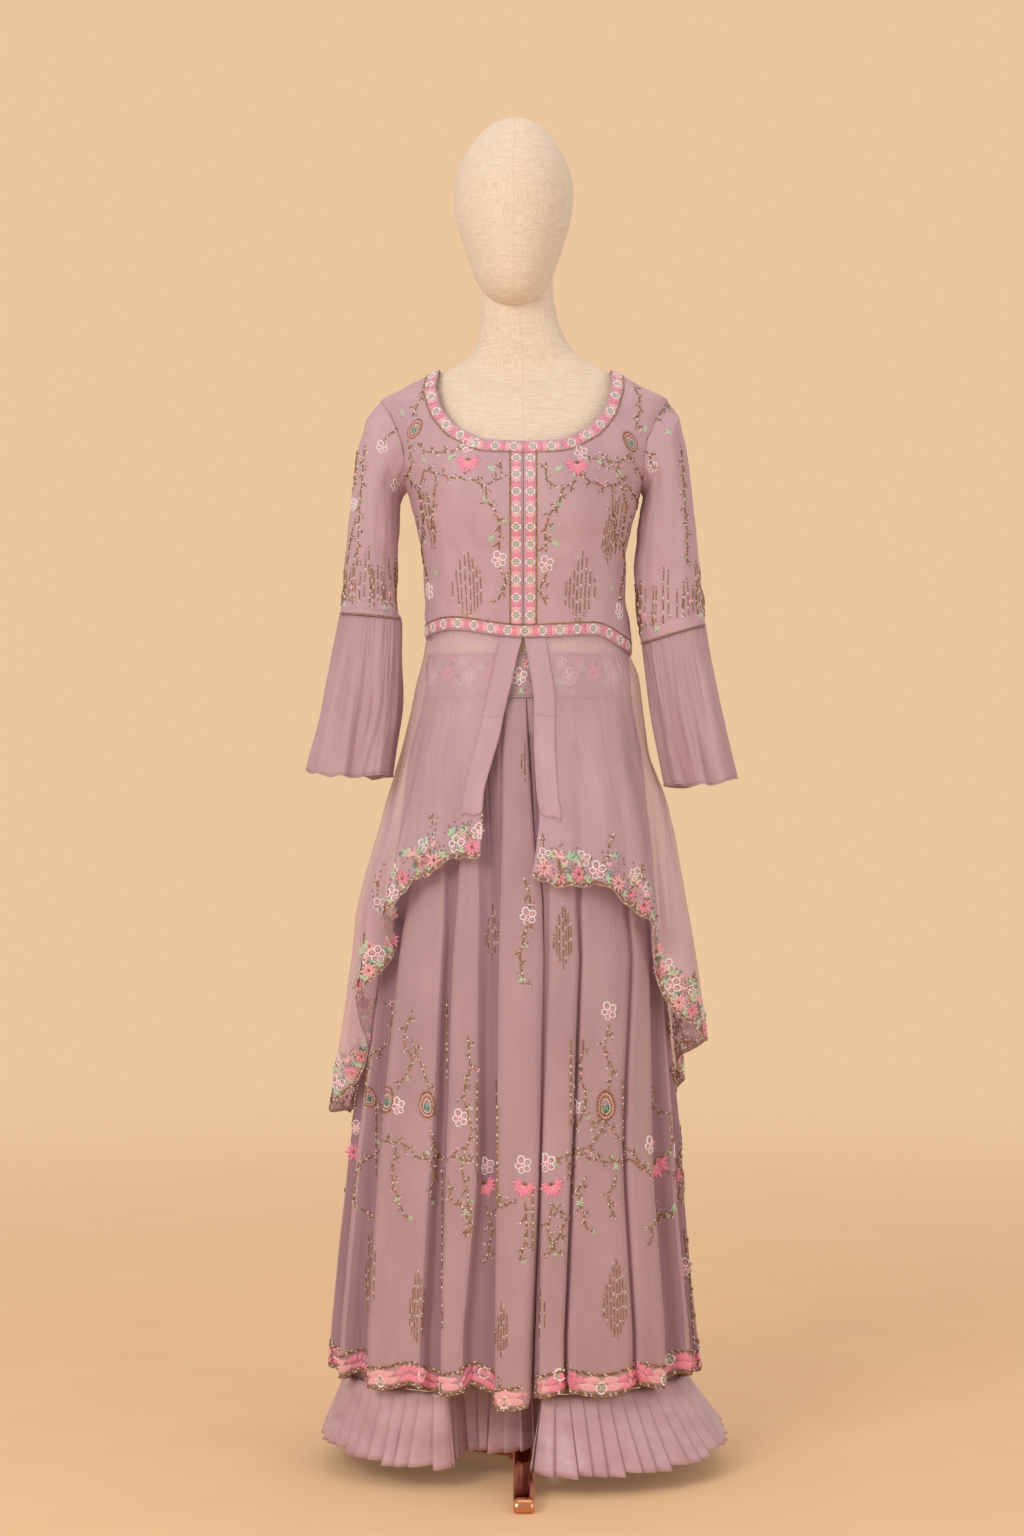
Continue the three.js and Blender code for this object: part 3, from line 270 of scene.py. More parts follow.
# Below this height the front opening between the legs has a turned-in edge
TURNED_IN_Z = 870
LINING_INSET = Sizes(["z", "inset"], [
    [118, 24], [280, 22], [480, 20], [700, 15], [850, 9.5], [930, 6], [971, 2.4],
])
RUFFLE_HEM = Sizes(["y", "z"], [[-200, 26], [-120, 30], [-60, 38], [60, 42], [240, 58]])
FLARE = {"left": (46, 30, 18, 1.6), "right": (24, 12, 19, 2)}
HEAD = Sizes(["z", "width", "depth", "x", "y"], [
    [1709, 0.4, 0.5, -11, 2], [1708, 10, 13, -11, 2], [1705, 21, 26, -11, 2],
    [1694, 37, 47, -11, 1], [1669, 58, 74, -11, 0], [1643, 71, 90, -12, -2],
    [1615, 76, 96, -12, -4], [1590, 74.5, 94, -12, -7], [1560, 68, 88, -12, -11],
    [1523, 56, 76, -12, -16], [1497, 46, 62, -12, -22], [1480, 34, 45, -12, -28],
    [1470, 20, 26, -12, -32], [1467, 10, 13, -12, -33], [1466.4, 0.4, 0.5, -12, -33],
])
TORSO = Sizes(SIDES, [
    [800, 84, 80, 66, 66, 0], [812, 104, 98, 78, 80, 0], [850, 128, 122, 92, 94, 0],
    [900, 134, 127, 94, 96, 0], [940, 133, 122, 92, 92, 0], [971, 131, 119, 91, 87, 0],
    [1027, 129.4, 116.4, 89.4, 79.4, 0], [1060, 124, 115, 87, 74, 0],
    [1100, 120, 115, 92, 75, 0], [1150, 120, 117, 99, 78, 0], [1200, 129, 126, 109, 81, 0],
    [1240, 138, 135, 107, 85, 1], [1290, 143, 140, 91, 87, 4], [1320, 150, 147, 79, 84, 6],
    [1345, 158.5, 154.6, 63.4, 75.9, 8], [1358, 152, 148.3, 55, 67.9, 9],
    [1372, 136, 132.3, 45.8, 56.9, 10], [1392, 99, 93, 40, 45, 12],
    [1410, 70, 66, 42, 47, 12], [1425, 59, 57, 44, 50, 11], [1450, 50, 50, 44, 49, 9],
    [1480, 46, 46, 44, 48, 6], [1520, 44, 44, 42, 45, 2],
])
TORSO_BOTTOM_Z = 800
# The side of a foot: how far out from the pole, and how high
FOOT_PROFILE = [
    [18.6, 9], [140, 8], [206, 2], [210, 0], [241, 0], [246, 3], [247, 8], [245, 13],
    [240, 17], [228, 20], [140, 27], [60, 30], [18.6, 31],
]
FOOT_HALF_WIDTH = 12.5
FOOT_EDGE = 3.2


def section(body, z, angle, inset=0.0):
    """The point of a section across the body at a height and an angle, moved in."""
    z, angle, inset = np.broadcast_arrays(
        np.asarray(z, float), np.asarray(angle, float), np.asarray(inset, float))
    sine, cosine = np.sin(angle), np.cos(angle)
    width = np.where(sine < 0, body(z, "right"), body(z, "left")) - inset
    depth = np.where(cosine < 0, body(z, "back"), body(z, "front")) - inset
    x = width * np.sign(sine) * np.abs(sine) ** ROUNDNESS
    y = body(z, "centre") - depth * np.sign(cosine) * np.abs(cosine) ** ROUNDNESS
    return np.stack([x, y, z], -1)


def angle_at_share(share):
    """The angle at which a section reaches a share of its half width."""
    share = np.clip(share, -1, 1)
    return np.arcsin(np.sign(share) * np.abs(share) ** (1 / ROUNDNESS))


def unevenness(points, size, seed):
    """Soft noise from -1 to 1 at each point; size is how many millimetres a bump spans."""
    scaled = points.reshape(-1, 3) / np.asarray(size, float) + seed * 17.3
    values = [noise.noise(Vector(point)) for point in scaled]
    return np.array(values).reshape(points.shape[:-1])


# Cloth meshes

def cloth_normals(grid, turn=1, closed=False):
    """Directions out of a cloth whose rows run down and whose columns run round."""
    east = np.roll(grid, -1, 1) if closed else grid[:, 1:]
    here = grid if closed else grid[:, :-1]
    cell = unit(np.cross(here[1:] - east[:-1], east[1:] - here[:-1]) * turn)
    total = np.zeros_like(grid)
    spot = np.arange(cell.shape[1])
    beside = (spot + 1) % grid.shape[1]
    for rows in (slice(0, -1), slice(1, None)):
        for columns in (spot, beside):
            total[rows, columns] += cell
    return unit(total)


class Mesh:
    """Points and faces of one piece, with a number for the material of each face."""

    def __init__(self):
        self.points, self.faces, self.kinds, self.count = [], [], [], 0

    def add(self, points, faces, kind=0):
        """Adds points, and faces that number those points from 0."""
        points = np.asarray(points, float).reshape(-1, 3)
        faces = np.asarray(faces, int)
        self.points.append(points)
        self.faces.extend((faces + self.count).tolist())
        self.kinds.extend([kind] * len(faces))
        self.count += len(points)

    def sheet(self, grid, turn=1):
        """One layer without thickness, whose columns close into a ring."""
        cells, _ = grid_cells(grid, True)
        self.add(grid, cells if turn > 0 else cells[:, ::-1])

    def wall(self, grid, thick, turn=1, closed=False, present=None, kinds=None):
        """Cloth with an outside, an inside and cut edges between them."""
        cells, edges = grid_cells(grid, closed, present)
        count = grid.shape[0] * grid.shape[1]
        inner = grid - cloth_normals(grid, turn, closed) * thick
        rims = np.stack([edges[:, 1], edges[:, 0], edges[:, 0] + count, edges[:, 1] + count], 1)
        faces = np.concatenate([cells, cells[:, ::-1] + count, rims])
        points = np.concatenate([grid.reshape(-1, 3), inner.reshape(-1, 3)])
        self.add(points, faces if turn > 0 else faces[:, ::-1])
        if kinds is not None:
            self.kinds[-len(faces):] = kinds.ravel()[np.concatenate(
                [cells[:, 0], cells[:, 0], edges[:, 0]])].tolist()

    def make(self, name, materials):
        """Makes the object in Blender, in metres."""
        mesh = bpy.data.meshes.new(name)
        mesh.from_pydata((np.concatenate(self.points) * MM).tolist(), [], self.faces)
        for material in materials:
            mesh.materials.append(material)
        mesh.polygons.foreach_set("material_index", self.kinds)
        mesh.polygons.foreach_set("use_smooth", [True] * len(self.faces))
        mesh.update()
        piece = bpy.data.objects.new(name, mesh)
        bpy.context.collection.objects.link(piece)
        return piece


def grid_cells(grid, closed, present=None):
    """The faces of a grid that are present, and the edges that only one of them has."""
    rows, columns = grid.shape[:2]
    i, j = np.meshgrid(
        np.arange(rows - 1), np.arange(columns if closed else columns - 1), indexing="ij")
    if present is not None:
        kept = present(i, j)
        i, j = i[kept], j[kept]
    i, j = i.ravel(), j.ravel()
    k = (j + 1) % columns
    cells = np.stack([i * columns + j, (i + 1) * columns + j,
                      (i + 1) * columns + k, i * columns + k], 1)
    edges = np.concatenate([cells[:, [n, (n + 1) % 4]] for n in range(4)])
    key = np.sort(edges, 1)
    _, first, uses = np.unique(key, axis=0, return_index=True, return_counts=True)
    return cells, edges[first[uses == 1]]


def tube(mesh, path, radius, closed=False, around=6):
    """A round cord, rib or piping along a path."""
    path = np.asarray(path, float)
    before = np.roll(path, 1, 0) if closed else np.concatenate([path[:1], path[:-1]])
    after = np.roll(path, -1, 0) if closed else np.concatenate([path[1:], path[-1:]])
    along = unit(after - before)
    aside = unit(np.cross(along, np.array([0.13, 0.21, 0.97])))
    third = np.cross(along, aside)
    angle = np.arange(around) / around * TURN
    ring = (aside[:, None] * np.cos(angle)[None, :, None]
            + third[:, None] * np.sin(angle)[None, :, None])
    grid = path[:, None] + ring * radius
    if closed:
        grid = np.concatenate([grid, grid[:1]])
    mesh.sheet(grid)


def finish_piece(piece, nodes=()):
    """Ties a piece to the frame, and hides the parts of the model that it stands for."""
    if nodes:
        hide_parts(*nodes)
    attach(piece, "root")


# Materials

def colour(hexadecimal):
    """An sRGB hex colour as the linear colour that a shader takes."""
    parts = [int(hexadecimal[k:k + 2], 16) / 255 for k in (1, 3, 5)]
    linear = [p / 12.92 if p <= 0.04045 else ((p + 0.055) / 1.055) ** 2.4 for p in parts]
    return (*linear, 1.0)


def add(tree, kind, settings=None, sockets=None):
    """Adds a node with its settings. A socket takes a value or another node's output."""
    node = tree.nodes.new(kind)
    for key, value in (settings or {}).items():
        setattr(node, key, value)
    for key, value in (sockets or {}).items():
        if isinstance(value, bpy.types.NodeSocket):
            tree.links.new(value, node.inputs[key])
        else:
            node.inputs[key].default_value = value
    return node


def new_material(name, shader_sockets):
    """A material with its shader and the place of each point in metres."""
    material = bpy.data.materials.new(name)
    material.use_nodes = True
    tree = material.node_tree
    tree.nodes.clear()
    place = add(tree, "ShaderNodeTexCoord").outputs["Object"]
    shader = add(tree, "ShaderNodeBsdfPrincipled", sockets=shader_sockets)
    output = add(tree, "ShaderNodeOutputMaterial")
    tree.links.new(shader.outputs[0], output.inputs["Surface"])
    return material, tree, place, shader


def mottle(tree, place, spans, detail=2.0):
    """Noise whose clouds span so many millimetres along X, Y and Z."""
    scaled = add(tree, "ShaderNodeMapping", sockets={
        "Vector": place, "Scale": tuple(1000 / span for span in spans)})
    return add(tree, "ShaderNodeTexNoise", sockets={
        "Vector": scaled.outputs[0], "Scale": 1.0, "Detail": detail}).outputs[0]


def tinted(tree, value, low, high, start=0.3, end=0.7):
    """A colour that runs from low to high while the value rises from start to end."""
    share = add(tree, "ShaderNodeMapRange", sockets={
        "Value": value, "From Min": start, "From Max": end})
    return add(tree, "ShaderNodeMix", {"data_type": "RGBA"}, {
        0: share.outputs[0], 6: colour(low), 7: colour(high)}).outputs[2]


def surface(tree, shader, tint, bump=None):
    """Gives the shader its colour, and the relief of the last bump."""
    tree.links.new(tint, shader.inputs["Base Color"])
    if bump:
        tree.links.new(bump.outputs[0], shader.inputs["Normal"])


def georgette(name, light, dark, sockets=None, crinkle=0.35):
    """Crepe georgette of tightly twisted yarn: matt and pebbly, with fine upright creases."""
    material, tree, place, shader = new_material(name, {
        "Roughness": 0.82, "Specular IOR Level": 0.25, "Sheen Weight": 0.25,
        "Sheen Roughness": 0.45, "Sheen Tint": colour("#e9c9cb"), **(sockets or {})})
    # yarn pebbles about 0.9 mm across, and creases about 5 mm apart that run down the cloth
    fine = add(tree, "ShaderNodeBump", sockets={
        "Strength": 0.3, "Distance": 0.0003, "Height": mottle(tree, place, (0.9, 0.9, 0.9), 1.0)})
    creased = add(tree, "ShaderNodeBump", sockets={
        "Strength": crinkle, "Distance": 0.0015, "Height": mottle(tree, place, (5, 5, 60)),
        "Normal": fine.outputs[0]})
    drift = mottle(tree, place, (45, 45, 130), 3.0)
    surface(tree, shader, tinted(tree, drift, dark, light, 0.25, 0.75), creased)
    return material


def satin(name, light, dark):
    """Satin-backed lining: smooth floats of filament that give a soft streaky gloss."""
    material, tree, place, shader = new_material(name, {
        "Roughness": 0.42, "Specular IOR Level": 0.5, "Sheen Weight": 0.2,
        "Sheen Roughness": 0.4})
    # filament floats drawn 1.2 mm wide, coarser than they are, so that they show
    floats = add(tree, "ShaderNodeBump", sockets={
        "Strength": 0.2, "Distance": 0.0003, "Height": mottle(tree, place, (1.2, 1.2, 8))})
    drift = mottle(tree, place, (60, 60, 25), 3.0)
    surface(tree, shader, tinted(tree, drift, dark, light), floats)
    return material


def linen():
    """Bleached linen glued smooth on the form: a plain weave with thicker slub yarns."""
    material, tree, place, shader = new_material("glued_linen", {
        "Roughness": 0.72, "Specular IOR Level": 0.3, "Sheen Weight": 0.1})
    # warp and weft yarns about 1 mm apart with slubs about 14 mm long
    weft, warp = mottle(tree, place, (1.1, 1.1, 14)), mottle(tree, place, (14, 14, 1.1))
    both = add(tree, "ShaderNodeMath", {"operation": "ADD"}, {0: weft, 1: warp})
    weave = add(tree, "ShaderNodeMath", {"operation": "MULTIPLY"}, {0: both.outputs[0], 1: 0.5})
    relief = add(tree, "ShaderNodeBump", sockets={
        "Strength": 0.25, "Distance": 0.0003, "Height": weave.outputs[0]})
    surface(tree, shader, tinted(tree, weave.outputs[0], "#dac3ab", "#eddcc8", 0.35, 0.62), relief)
    return material


def rose_gold():
    """Polished plated steel: a warm mirror with faint handling smears."""
    material, tree, place, shader = new_material("rose_gold_plate", {
        "Base Color": colour("#dd9a70"), "Metallic": 1.0})
    smears = add(tree, "ShaderNodeMapRange", sockets={
        "Value": mottle(tree, place, (12, 12, 30), 3.0), "To Min": 0.05, "To Max": 0.14})
    tree.links.new(smears.outputs[0], shader.inputs["Roughness"])
    return material


def thread(name, light, dark):
    """Stranded silk thread in satin stitch: a soft lustre with lines between the stitches."""
    material, tree, place, shader = new_material(name, {
        "Roughness": 0.5, "Specular IOR Level": 0.4, "Sheen Weight": 0.2})
    strands = mottle(tree, place, (1.4, 1.4, 1.4))
    relief = add(tree, "ShaderNodeBump", sockets={
        "Strength": 0.4, "Distance": 0.0004, "Height": strands})
    surface(tree, shader, tinted(tree, strands, dark, light), relief)
    return material


def glass_bead(name, light, dark, metallic, roughness):
    """Cut glass seed beads, plain or lined with metal: small hard glints that vary by bead."""
    material, tree, place, shader = new_material(name, {
        "Roughness": roughness, "Metallic": metallic, "Coat Weight": 0.3, "Coat Roughness": 0.1})
    lots = mottle(tree, place, (3, 3, 3), 1.0)
    surface(tree, shader, tinted(tree, lots, dark, light, 0.35, 0.65))
    return material


# The georgette of the bodice, sleeves and facings
GEORGETTE = georgette("crepe_georgette", "#caa9b0", "#bb98a3")
# The skirt's overlay lies on a darker lining, which deepens its colour
OVERLAY_CLOTH = georgette("crepe_georgette_over_lining", "#bd9ca2", "#ae8d94", crinkle=0.6)
# One layer of the same crepe lets through part of what lies under it
SHEER = georgette("sheer_crepe_georgette", "#f0d2d9", "#e2c0ca", {"Alpha": 0.33}, crinkle=0.45)
# One gathered layer, which the light behind it just comes through
FLOUNCE_CLOTH = georgette("gathered_crepe_georgette", "#cdacb3", "#bb98a0", {"Alpha": 0.84},
                          crinkle=0.25)
# Painted shade: the overlay's cloth drawn darker where it lies deep between two pressed folds
PAINTED_FOLD_SHADE_CLOTH = georgette("crepe_georgette_in_shade", "#a98893", "#9b7a86", crinkle=0.6)
LINING = satin("lining_satin", "#a5808a", "#927078")
PLEATED = satin("pleated_satin", "#caa8af", "#b78f96")
LINEN = linen()
ROSE_GOLD = rose_gold()
THREADS = {
    "deep_pink": thread("deep_pink_silk", "#f59db2", "#e8809b"),
    "pale_pink": thread("pale_pink_silk", "#f5bcc0", "#eaa3aa"),
    "green": thread("mint_silk", "#c3dcb6", "#96b992"),
    "white": glass_bead("white_opaque_beads", "#fbf7f5", "#e6dfdc", 0.0, 0.35),
    "gold": glass_bead("antique_gold_beads", "#b1854c", "#7a5630", 0.25, 0.3),
    "pearl": glass_bead("pearl_beads", "#f3ece4", "#d9cdc4", 0.1, 0.25),
    "teal": glass_bead("teal_sequins", "#6fb3a6", "#3f8276", 0.35, 0.25),
    "silver": glass_bead("silver_lined_beads", "#e3dcd6", "#a89e96", 0.8, 0.2),
}
THREAD_NAMES = list(THREADS)


# Cloth

CLOTH = {}


def remember(name, grid, turn=1, closed=False):
    """Keeps the outside of a cloth, so that beads can be sewn on it."""
    cells, _ = grid_cells(grid, closed)
    if turn < 0:
        cells = cells[:, ::-1]
    CLOTH.setdefault(name, []).append((grid.reshape(-1, 3), cells))


def waist_point(angle):
    """The point of the waist seam at an angle round the body."""
    wrapped = np.arctan2(np.sin(angle), np.cos(angle))
    return section(BODICE, WAIST_SEAM(np.degrees(wrapped), "z"), wrapped)


BODICE_ROWS = 72
BODICE_COLUMNS = 40
# How far apart the two fronts are drawn where they meet
FRONT_GAP = 0.5


def bodice_half(face, side):
    """Half of the bodice's front or back: rows from the shoulder to the waist."""
    width = "right" if side < 0 else "left"
    start = NECK_START[face]
    share_across = np.linspace(0, 1, BODICE_COLUMNS + 1)
    rows = []
    waist = [waist_point(side * (a if face == "front" else np.pi - a))[2]
             for a in share_across * np.pi / 2]
    for v in np.linspace(1, 0, BODICE_ROWS + 1):
        share = (v - start) / (1 - start)
        if share <= 0:
            inner = (0.0, mix(waist[0], NECKLINE(0, face + "Z"), v / start))
        else:
            past = max(share - 0.8, 0) / 0.2
            z = mix(NECKLINE(min(share, 0.8), face + "Z"), NECK_POINT_Z, past)
            x = mix(NECKLINE(min(share, 0.8), face + "X"), BODICE(NECK_POINT_Z, width), past)
            inner = (angle_at_share(x / BODICE(z, width)), z)
        if v > 0.5:
            z = mix(UNDERARM_Z, SHOULDER_TIP_Z, 2 * v - 1)
            outer = (angle_at_share(ARMHOLE(z, face)), z)
        else:
            outer = (np.pi / 2, mix(waist[-1], UNDERARM_Z, 2 * v))
        angle = mix(inner[0], outer[0], share_across)
        straight = mix(waist[0], waist[-1], share_across)
        dip = (np.array(waist) - straight) * max(1 - 2 * v, 0)
        z = mix(inner[1], outer[1], share_across) + dip
        rows.append(section(BODICE, z, side * (angle if face == "front" else np.pi - angle)))
    return np.array(rows)


def make_bodice():
    """Two fronts and a back, cut so that they meet edge to edge."""
    back = Mesh()
    for face, side in (("front", 1), ("front", -1), ("back", 1), ("back", -1)):
        grid = bodice_half(face, side)
        turn = side if face == "front" else -side
        out = cloth_normals(grid, turn)
        # soft strain lines, and the waist dart sewn flat as a shallow groove
        puckers = 1.3 * unevenness(grid, (36, 36, 16), 1) + 0.6 * unevenness(grid, (9, 9, 30), 2)
        height = grid[..., 2]
        if face == "front":
            dart_x = side * mix(76, 90, (height - 1045) / 105)
            near = np.exp(-((grid[..., 0] - dart_x) / 1.4) ** 2)
            puckers -= 1.3 * near * smooth(1160, 1140, height)
        edge = np.minimum(smooth(0, 0.12, np.linspace(0, 1, grid.shape[1]))[None, :],
                          smooth(0, 0.06, np.linspace(1, 0, grid.shape[0]))[:, None])
        grid = grid + out * (puckers * edge)[..., None]
        if face == "front":
            grid[..., 0] += side * FRONT_GAP / 2
        mesh = Mesh() if face == "front" else back
        mesh.wall(grid, THICK["bodice"], turn)
        remember("bodice", grid, turn)
        if face == "front":
            name = "bodice_front_left" if side > 0 else "bodice_front_right"
            piece = mesh.make("georgette_" + name, [GEORGETTE])
            finish_piece(piece, [name])
    piece = back.make("georgette_bodice_back", [GEORGETTE])
    finish_piece(piece, ["bodice_back"])


def ring_rows(rings, count, columns):
    """Rows between rings, each ring through its outer and inner edge seen from the front."""
    sizes = Sizes(["row", "outX", "outZ", "inX", "inZ", "depth", "centre"],
                  [[k, *ring] for k, ring in enumerate(rings)])
    row = np.linspace(0, len(rings) - 1, count)[:, None]
    angle = ring_angles(columns)
    centre = sizes(row, "centre")
    outer = np.stack([sizes(row, "outX"), centre, sizes(row, "outZ")], -1)
    inner = np.stack([sizes(row, "inX"), centre, sizes(row, "inZ")], -1)
    grid = (outer + inner) / 2 + (outer - inner) / 2 * np.cos(angle)[..., None]
    grid[..., 1] -= sizes(row, "depth") * np.sin(angle)
    return grid, row, angle


SLEEVE_ROWS = 60
SLEEVE_COLUMNS = 84


def make_sleeve(side):
    """A set-in sleeve, whose head eases from the armhole into its first ring."""
    sign = SIGN[side]
    rest, _, angle = ring_rows(SLEEVES[side], SLEEVE_ROWS, SLEEVE_COLUMNS)
    front = bodice_half("front", sign)[:, -1]
    back = bodice_half("back", sign)[:, -1]
    half = len(front) // 2
    armhole = np.concatenate([front[:half], back[half:0:-1]])
    pick = np.linspace(0, len(armhole), SLEEVE_COLUMNS, endpoint=False)
    closed_armhole = np.concatenate([armhole, armhole[:1]])
    upper = point_at(closed_armhole, np.arange(len(armhole) + 1), pick)
    upper = upper + unit(rest[0] - upper) * 0.5
    share = np.linspace(0, 1, 11)[:-1, None, None]
    cap = upper + (rest[0] - upper) * share
    grid = np.concatenate([cap, rest])
    out = cloth_normals(grid, -sign, True)
    down = np.linspace(0, 1, len(grid))[:, None]
    # long upright folds that start at the cap, and drag lines above the elbow seam
    wheel = spread(np.cos(angle) * 60, np.sin(angle) * 60, down * 300)
    folds = 2.2 * unevenness(wheel, (17, 17, 150), 3) + 0.9 * unevenness(wheel, (8, 8, 60), 4)
    folds += 2.3 * unevenness(wheel, (34, 34, 20), 5) * smooth(0.3, 0.7, down)
    fade = smooth(0, 0.08, down) * smooth(1, 0.93, down)
    grid = grid + out * ((folds - 0.6) * fade)[..., None]
    mesh = Mesh()
    mesh.wall(grid, THICK["sleeve"], -sign, True)
    remember("sleeve_" + side, grid, -sign, True)
    piece = mesh.make("georgette_sleeve_" + side, [GEORGETTE])
    finish_piece(piece, ["sleeve_" + side])


def make_flounce(side):
    """The gathered flare below the elbow seam."""
    sign = SIGN[side]
    grid, row, angle = ring_rows(FLOUNCES[side], 36, 324)
    down = row / 2
    wheel = spread(np.cos(angle) * 70, np.sin(angle) * 70, down * 200)
    # soft folds of uneven depth, among crinkles that start at the gathered seam
    wander = 1.5 * np.sin(2 * angle + sign) + 0.9 * np.sin(3 * angle + 2)
    waves = 0.5 - 0.5 * np.cos(8 * angle + wander)
    inset = 1.2 + mix(0.8, 12, down) * waves
    inset = inset + mix(0.6, 12, down ** 1.2) * unevenness(wheel, (24, 24, 190), 21)
    inset = inset + mix(1.0, 4.5, down) * unevenness(wheel, (11, 11, 110), 6)
    inset = inset + mix(1.3, 0.8, down) * unevenness(wheel, (4, 4, 60), 22)
    inset = np.maximum(inset, 0.1)
    inward = unit(grid.mean(axis=1, keepdims=True) - grid)
    inward[..., 2] = 0
    grid = grid + inward * inset[..., None]
    drop = 9 * np.sin(angle) ** 2 + 3 * np.sin(2 * angle + 1) + 3.5 * waves
    grid[..., 2] -= drop * smooth(0.5, 1, down)
    mesh = Mesh()
    mesh.wall(grid, THICK["flounce"], -sign, True)
    tube(mesh, grid[-1], ROLLED_HEM, closed=True)
    piece = mesh.make("georgette_flounce_" + side, [FLOUNCE_CLOTH])
    finish_piece(piece, ["flounce_" + side])


def peplum_angle(side, degrees, z):
    """The angle of a peplum column, which keeps clear of the parted front edges."""
    edge, width = PEPLUM_EDGE(z, side), PEPLUM(z, side)
    strip = FACING_WIDTH * np.minimum(degrees, FACING_DEGREES) / FACING_DEGREES
    near = np.degrees(angle_at_share((edge + strip) / width))
    least = np.degrees(angle_at_share(edge / width))
    free = degrees + least * (1 - smooth(0, 60, degrees))
    return mix(near, free, np.clip((degrees - FACING_DEGREES) / 7, 0, 1))


def flute_inset(side, degrees, z):
    """How far the peplum lies in: nothing on a flute's crest, and most between two flutes."""
    crests = np.array([crest for crest, _ in FLUTES[side]], float)
    reach = np.array([reach for _, reach in FLUTES[side]], float)
    nearest = np.abs(degrees[..., None] - crests).argmin(-1)
    away = np.clip(np.abs(degrees - crests[nearest]) / reach[nearest], 0, 1)
    deep = FLUTE_DEPTH(z, "depth") * (0.5 - 0.5 * np.cos(away * np.pi))
    share = (crests[0] - degrees) / crests[0]
    shallow = 3 * (0.5 - 0.5 * np.cos(share * 3 * TURN)) * smooth(960, 800, z)
    return np.where(degrees < crests[0], shallow, deep)


def peplum_grid(side, degrees):
    """The outside of the peplum at some columns, from the waist seam to the scalloped hem."""
    sign = SIGN[side]
    degrees = np.asarray(degrees, float)
    seam = sign * np.radians(peplum_angle(side, degrees, 1047.0))
    start = waist_point(seam)
    start[..., 2] -= 0.7
    second = np.minimum(start[..., 2] - 15.3, 1021)
    hem = PEPLUM_HEM(degrees, side)
    hem = hem - 3.5 * np.abs(np.sin(np.pi * degrees / 7.5)) + 1.5
    share = np.linspace(0, 1, 58)[:, None]
    z = mix(second[None], hem[None], share)
    turned = peplum_angle(side, degrees[None] + 0 * z, z)
    body = section(PEPLUM, z, sign * np.radians(turned), flute_inset(side, turned, z))
    return np.concatenate([start[None], mix(start[None], body[:1], 0.5), body])


def make_peplum():
    """The sheer skirt of the top: two fronts and a back, one layer each."""
    fronts = {side: peplum_grid(side, np.linspace(0, FRONT_END, 150)) for side in FLUTES}
    behind = {side: peplum_grid(side, np.linspace(180, BACK_START, 135)) for side in FLUTES}
    back = np.concatenate([behind["left"][:, ::-1], behind["right"][:, 1:]], axis=1)
    for side, grid in fronts.items():
        sign = SIGN[side]
        out = cloth_normals(grid, sign)
        flow = spread(np.linspace(0, 1, grid.shape[1])[None, :] * 300, 0, grid[..., 2])
        grid = grid + out * (0.7 * unevenness(flow, (7, 7, 130), 7 + sign) - 0.3)[..., None]
        mesh = Mesh()
        mesh.wall(grid, THICK["peplum"], sign)
        tube(mesh, grid[-1], ROLLED_HEM)
        piece = mesh.make("georgette_peplum_front_" + side, [SHEER])
        finish_piece(piece, ["peplum_front_" + side])
        remember("peplum_" + side, grid, sign)
        fronts[side] = grid
    out = cloth_normals(back)
    flow = spread(np.linspace(0, 1, back.shape[1])[None, :] * 700, 0, back[..., 2])
    back = back + out * (0.7 * unevenness(flow, (7, 7, 130), 11) - 0.3)[..., None]
    mesh = Mesh()
    mesh.wall(back, THICK["peplum"])
    tube(mesh, back[-1], ROLLED_HEM)
    piece = mesh.make("georgette_peplum_back", [SHEER])
    finish_piece(piece, ["peplum_back"])
    remember("peplum_back", back)
    return fronts, back


def make_facing(side, grid):
    """A plain strip on the peplum's front edge, stitched down along both of its sides."""
    sign = SIGN[side]
    degrees = np.linspace(0, FRONT_END, grid.shape[1])
    last = int(np.searchsorted(degrees, FACING_DEGREES))
    low = int(grid.shape[0] * FACING_END[side])
    strip = grid[:low, :last + 1]
    out = cloth_normals(strip, sign)
    strip = strip + out * 1.1
    mesh = Mesh()
    mesh.wall(strip, THICK["facing"], sign)
    for column in (1, last - 1):
        tube(mesh, strip[1:, column] + out[1:, column] * 0.05, STITCHING, around=5)
    seam = int(grid.shape[0] * FACING_SEAM[side])
    tube(mesh, strip[seam] + out[seam] * 0.15, 0.5, around=5)
    piece = mesh.make("georgette_front_facing_" + side, [GEORGETTE])
    finish_piece(piece, ["front_facing_" + side])


def make_belt():
    """The stiff band that the two legs hang from."""
    z = np.linspace(BELT_TOP_Z, BELT_BOTTOM_Z, 12)[:, None]
    angle = ring_angles(144)
    grid = section(SKIRT, z, angle)
    ripples = 0.4 * unevenness(grid, (14, 14, 9), 8) - 0.3
    grid = grid + cloth_normals(grid, 1, True) * ripples[..., None]
    mesh = Mesh()
    mesh.wall(grid, THICK["belt"], 1, True)
    # corded piping along both edges of the belt
    for row, height in ((0, -1.2), (-1, 1.2)):
        ring = grid[row] + cloth_normals(grid, 1, True)[row] * 0.5
        ring[:, 2] += height
        tube(mesh, ring, PIPING, closed=True)
    piece = mesh.make("georgette_waist_belt", [OVERLAY_CLOTH])
    finish_piece(piece, ["waist_belt"])
    remember("belt", grid, 1, True)


def inseam_x(side, y, z, inset=0.0):
    """X of the wall of a leg that faces the other leg."""
    sign = SIGN[side]
    bow = 25 * np.maximum(1 - (y / 150) ** 2, 0) * smooth(800, 720, z)
    return SPLIT_X(z, "x") + bow + sign * (INSEAM_GAP(z, "gap") / 2 + inset)


